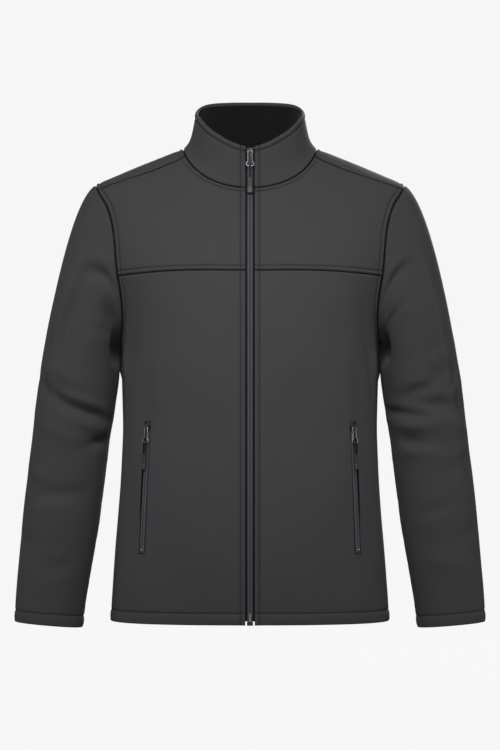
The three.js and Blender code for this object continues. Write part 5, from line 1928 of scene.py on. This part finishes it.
class JACKET_OT_studio(bpy.types.Operator):
    """Camera, a wide round of pale paper and soft lights"""

    bl_idname = "jacket.studio"
    bl_label = "Studio"

    def execute(self, context):
        """The paper is level: rings of points at growing distances, joined by quads."""
        look = context.scene.jacket_studio
        camera = bpy.data.objects.new("camera", bpy.data.cameras.new("camera"))
        context.scene.collection.objects.link(camera)
        camera.location = (0.0, -look.camera_distance, look.camera_height)
        camera.rotation_euler = (math.radians(90), 0, 0)
        camera.data.lens = look.lens
        camera.data.sensor_width = 36
        camera.data.sensor_fit = "AUTO"
        camera.data.clip_end = 60
        camera.data.dof.use_dof = False
        context.scene.camera = camera
        turn = np.radians(np.linspace(0, 360, 97))
        out = np.array([0.0, 0.4, 1.0, 2.0, 4.0, 7.0, 12.0, 20.0])
        x, y = np.outer(out, np.cos(turn)), np.outer(out, np.sin(turn))
        points = np.stack([x, y, 0 * x + look.floor_height], -1) / MM
        grid = np.arange(points.shape[0] * points.shape[1]).reshape(points.shape[:2])
        quads = np.stack([grid[:-1, :-1], grid[1:, :-1], grid[1:, 1:], grid[:-1, 1:]], -1)[1:].reshape(-1, 4)
        paper = write_mesh("paper_floor", points.reshape(-1, 3), quads, [paper_finish(look)])
        area_light("key_light", (-0.2, -2.2, 1.75), (0, 0, -0.4), (1.0, 0.8), look.key_power)
        area_light("front_light", (0.1, -2.6, 0.0), (0, 0, -0.34), (0.4, 0.4), look.front_power, 20.0)
        area_light("back_light", (0.8, 3.0, 1.1), (0, 0, -0.35), (1.6, 1.6), look.back_power)
        area_light("left_light", (-3.2, -0.8, -0.45), (0, 0, -0.5), (0.7, 1.6), look.fill_power)
        area_light("right_light", (3.2, -0.8, -0.45), (0, 0, -0.5), (0.7, 1.6), look.fill_power)
        world = bpy.data.worlds.new("studio")
        world.use_nodes = True
        tree = world.node_tree
        seen = tree.nodes.new("ShaderNodeLightPath").outputs["Is Camera Ray"]
        extra = times(tree, seen, look.paper[0] - look.sky)
        tree.links.new(plus(tree, extra, look.sky), tree.nodes["Background"].inputs["Strength"])
        tree.nodes["Background"].inputs["Color"].default_value = (1, 1, 1, 1)
        context.scene.world = world
        context.scene.view_settings.view_transform = "Standard"
        return {"FINISHED"}


def paper_finish(look):
    """Pale matt paper, evenly lit: the camera sees its own even tone, and the jacket gets its bounced
    light."""
    made = Finish("paper", 0.9, specular=0.0)
    seen = made.tree.nodes.new("ShaderNodeLightPath").outputs["Is Camera Ray"]
    unseen = times(made.tree, math_node(made.tree, "SUBTRACT", 1.0, seen), 0.3)
    made.dye((1.0, 1.0, 1.0), made.mottle(1.2, 60.0, 0.02), plus(made.tree, unseen, 0.01))
    made.set(Emission_Color=look.paper)
    made.tree.links.new(seen, made.shader.inputs["Emission Strength"])
    return made.material


class JACKET_OT_fronts(bpy.types.Operator):
    """The two lower fronts and the two front yokes"""

    bl_idname = "jacket.fronts"
    bl_label = "Fronts"

    def execute(self, context):
        for side, word in SIDES:
            low = make_lower_front(side, "front_lower_" + word)
            yoke = make_yoke(side, "front_yoke_" + word)
        return {"FINISHED"}


class JACKET_OT_back(bpy.types.Operator):
    """The back, in one piece"""

    bl_idname = "jacket.back"
    bl_label = "Back"

    def execute(self, context):
        back = make_back("back")
        return {"FINISHED"}


class JACKET_OT_sleeves(bpy.types.Operator):
    """The two sleeves with their cuffs"""

    bl_idname = "jacket.sleeves"
    bl_label = "Sleeves"

    def execute(self, context):
        for side, word in SIDES:
            sleeve = make_sleeve(side, "sleeve_" + word)
        return {"FINISHED"}


class JACKET_OT_collar(bpy.types.Operator):
    """The stand collar and the fleece inside it"""

    bl_idname = "jacket.collar"
    bl_label = "Collar"

    def execute(self, context):
        collar = make_collar("collar")
        facing = make_facing("collar_facing")
        return {"FINISHED"}


class JACKET_OT_seams(bpy.types.Operator):
    """The bound seams inside: armholes, shoulders, chest, sides"""

    bl_idname = "jacket.seams"
    bl_label = "Bound Seams"

    def execute(self, context):
        parts = []
        share = np.linspace(0, 1, 200)
        for side, _ in SIDES:
            parts.append(armhole_band(side))
            parts.append(flat_band(side, *shoulder_seam(share)))
            parts.append(flat_band(side, *yoke_bottom(0.03 + 0.97 * share)))
            parts.append(flat_band(side, 90 + 0 * share, mix(HEM + 22, SIDE_TOP - 2, share)))
        write_hardware("bound_seams", parts, "fleece")
        return {"FINISHED"}


class JACKET_OT_topstitching(bpy.types.Operator):
    """Rows of single stitches beside the seams and round the edges"""

    bl_idname = "jacket.topstitching"
    bl_label = "Topstitching"

    def execute(self, context):
        look = context.scene.jacket_sizes
        share = np.linspace(0, 1, 700)
        for side, word in SIDES:
            yoke = PANELS["front_yoke_" + word]
            neck = mix(NECK_START, NECK_SIDE, share)
            rows = [
                (yoke, *yoke_bottom(0.028 + 0.94 * share), look.chest_stitch, 1),
                (yoke, *armhole(mix(TAU_CHEST - 4, TAU_SHOULDER, share)), look.armhole_stitch, 1),
                (yoke, neck, neck_height(neck), look.neck_stitch, -1),
                (yoke, *zip_edge_places(-188, NECK_FRONT_Z - 1), look.zip_stitch, -1),
            ]
            lower = PANELS["front_lower_" + word]
            rows += [
                (lower, *armhole(mix(179, TAU_CHEST, share)), look.armhole_stitch, 1),
                (lower, *zip_edge_places(HEM + 3, -191), look.zip_stitch, -1),
                (lower, mix(psi_at(EDGE + 1, HEM), 89.7, share), HEM + 0 * share, look.hem_stitch, 1),
            ]
            parts = []
            for panel, a, b, offset, turn in rows:
                parts.append(self.row(panel, side * a, b, offset, turn * side, look))
            write_hardware("stitches_front_" + word, parts, "thread")
            cuff = 2 - look.hem_stitch / ARM_LONG + 0 * share
            made = self.row(PANELS["sleeve_" + word], mix(180, 540, share), cuff, 0.0, 1, look)
            write_hardware("stitches_cuff_" + word, [made], "thread")
        back = PANELS["back"]
        neck = mix(NECK_SIDE, 360 - NECK_SIDE, share)
        neck_z = neck_height(np.where(neck > 180, 360 - neck, neck))
        parts = [
            self.row(back, mix(90.3, 269.7, share), HEM + 0 * share, look.hem_stitch, 1, look),
            self.row(back, neck, neck_z, look.neck_stitch, -1, look),
        ]
        tau = mix(181, 360 + TAU_SHOULDER, share)
        psi, z = armhole(tau)
        parts.append(self.row(back, psi, z, look.armhole_stitch, -1, look))
        parts.append(self.row(back, 360 - psi, z, look.armhole_stitch, 1, look))
        write_hardware("stitches_back", parts, "thread")
        collar = PANELS["collar"]
        psi, t = collar_place(mix(0.02, 0.4999, share), 1 + 0 * share)
        parts = []
        side_t = mix(0.03, 0.86, share)
        for side, _ in SIDES:
            parts.append(self.row(collar, side * psi, t, look.rim_stitch, -side, look))
            edge = side * collar_psi_at(EDGE, side_t)
            parts.append(self.row(collar, edge, side_t, look.zip_stitch, -side, look))
        write_hardware("stitches_collar", parts, "thread")
        return {"FINISHED"}

    def row(self, panel, a, b, offset, turn, look):
        """One row of stitches beside an edge."""
        line, normals = stitch_row(panel, a, b, offset, turn)
        return stitches(line, normals, look.stitch_pitch, look.thread_radius)


class JACKET_OT_front_zip(bpy.types.Operator):
    """The main zip: tape, coil and the box at its foot"""

    bl_idname = "jacket.front_zip"
    bl_label = "Front Zip"

    def execute(self, context):
        track, collar_long = front_track()
        foot = TAPE_FOOT - NECK_FRONT_Z
        top = TAPE_TOP * collar_long
        for side, word in SIDES:
            parts = [zip_half(track, side, foot, top, FRONT_TAPE), coil_half(track, side, foot + 2, top - 1)]
            write_hardware("tape_front_" + word, parts, "zip", stands_for=["front_zip_" + word])
        stops = [rounded_bar(track, collar_long - 3, side * 6.1, -0.3, 3.4, 1.4, 1.5) for side, _ in SIDES]
        write_hardware("top_stops", stops, "slider")
        eased_copy("front_zip_box", "zip_box", "grip", 0.7)
        return {"FINISHED"}


class JACKET_OT_pocket_zips(bpy.types.Operator):
    """The pocket zips: tape, coil, end stops and the stitched bars across their ends"""

    bl_idname = "jacket.pocket_zips"
    bl_label = "Pocket Zips"

    def execute(self, context):
        for side, word in SIDES:
            track = pocket_track(side)
            parts = []
            for half in (1, -1):
                parts.append(zip_half(track, half, -1, POCKET_LONG + 2, POCKET_TAPE))
                parts.append(coil_half(track, half, 3, POCKET_LONG - 4))
            write_hardware("tape_pocket_" + word, parts, "zip", stands_for=["pocket_zip_" + word])
            stop = rounded_bar(track, POCKET_LONG - 7.2, 0, 0.9, 2.2, 6.4, 1.6)
            write_hardware("end_stop_" + word, [stop], "wire")
            bars = [stitched_bar(track, POCKET_LONG - 2.2), stitched_bar(track, 0.6)]
            write_hardware("stitched_bars_" + word, bars, "thread")
        return {"FINISHED"}


class JACKET_OT_sliders(bpy.types.Operator):
    """The three sliders"""

    bl_idname = "jacket.sliders"
    bl_label = "Sliders"

    def execute(self, context):
        for node in ("front_slider", "pocket_slider_left", "pocket_slider_right"):
            eased_copy(node, "metal_" + node, "slider", 0.28)
        return {"FINISHED"}


class JACKET_OT_pulls(bpy.types.Operator):
    """The three pulls: wire frame, cord and moulded grip"""

    bl_idname = "jacket.pulls"
    bl_label = "Pulls"

    def execute(self, context):
        for word, (_, seat) in pull_seats().items():
            stem, tail = ("front", "") if word == "front" else ("pocket", "_" + word)
            top, end, wide = FRONT_GRIP if word == "front" else POCKET_GRIP
            body_name = word + "_pull"
            stem = stem + "_pull_"
            write_hardware("wire_" + word, [wire_frame(seat)], "wire", body_name, [stem + "frame" + tail])
            write_hardware("braid_" + word, [pull_cord(seat, top)], "cord", body_name, [stem + "cord" + tail])
            grip_node = stem + "grip" + tail
            shank = pull_grip(seat, top, end, wide, 0)
            foot = pull_grip(seat, top, end, wide, 1)
            write_hardware("grip_shank_" + word, [shank], "grip", body_name, [grip_node])
            write_hardware("grip_foot_" + word, [foot], "grip_foot", body_name, [grip_node])
        return {"FINISHED"}


class JACKET_PT_panel(bpy.types.Panel):
    """The jacket's steps, in order"""

    bl_idname = "JACKET_PT_panel"
    bl_label = "Softshell Jacket"
    bl_space_type = "VIEW_3D"
    bl_region_type = "UI"
    bl_category = "Jacket"

    def draw(self, context):
        for group in (context.scene.jacket_sizes, context.scene.jacket_colours, context.scene.jacket_studio):
            box = self.layout.box()
            for name in group.__annotations__:
                box.prop(group, name)
        for step in STEPS:
            self.layout.operator(step.bl_idname)


STEPS = (
    JACKET_OT_studio,
    JACKET_OT_fronts,
    JACKET_OT_back,
    JACKET_OT_sleeves,
    JACKET_OT_collar,
    JACKET_OT_seams,
    JACKET_OT_topstitching,
    JACKET_OT_front_zip,
    JACKET_OT_pocket_zips,
    JACKET_OT_sliders,
    JACKET_OT_pulls,
)
CLASSES = (JacketSizes, JacketColours, StudioLook, *STEPS, JACKET_PT_panel)


def register():
    for cls in CLASSES:
        bpy.utils.register_class(cls)
    bpy.types.Scene.jacket_sizes = bpy.props.PointerProperty(type=JacketSizes)
    bpy.types.Scene.jacket_colours = bpy.props.PointerProperty(type=JacketColours)
    bpy.types.Scene.jacket_studio = bpy.props.PointerProperty(type=StudioLook)


def unregister():
    del bpy.types.Scene.jacket_studio
    del bpy.types.Scene.jacket_colours
    del bpy.types.Scene.jacket_sizes
    for cls in reversed(CLASSES):
        bpy.utils.unregister_class(cls)


def main():
    """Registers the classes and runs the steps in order."""
    register()
    for step in STEPS:
        area, name = step.bl_idname.split(".")
        getattr(getattr(bpy.ops, area), name)()


if __name__ == "__main__":
    main()
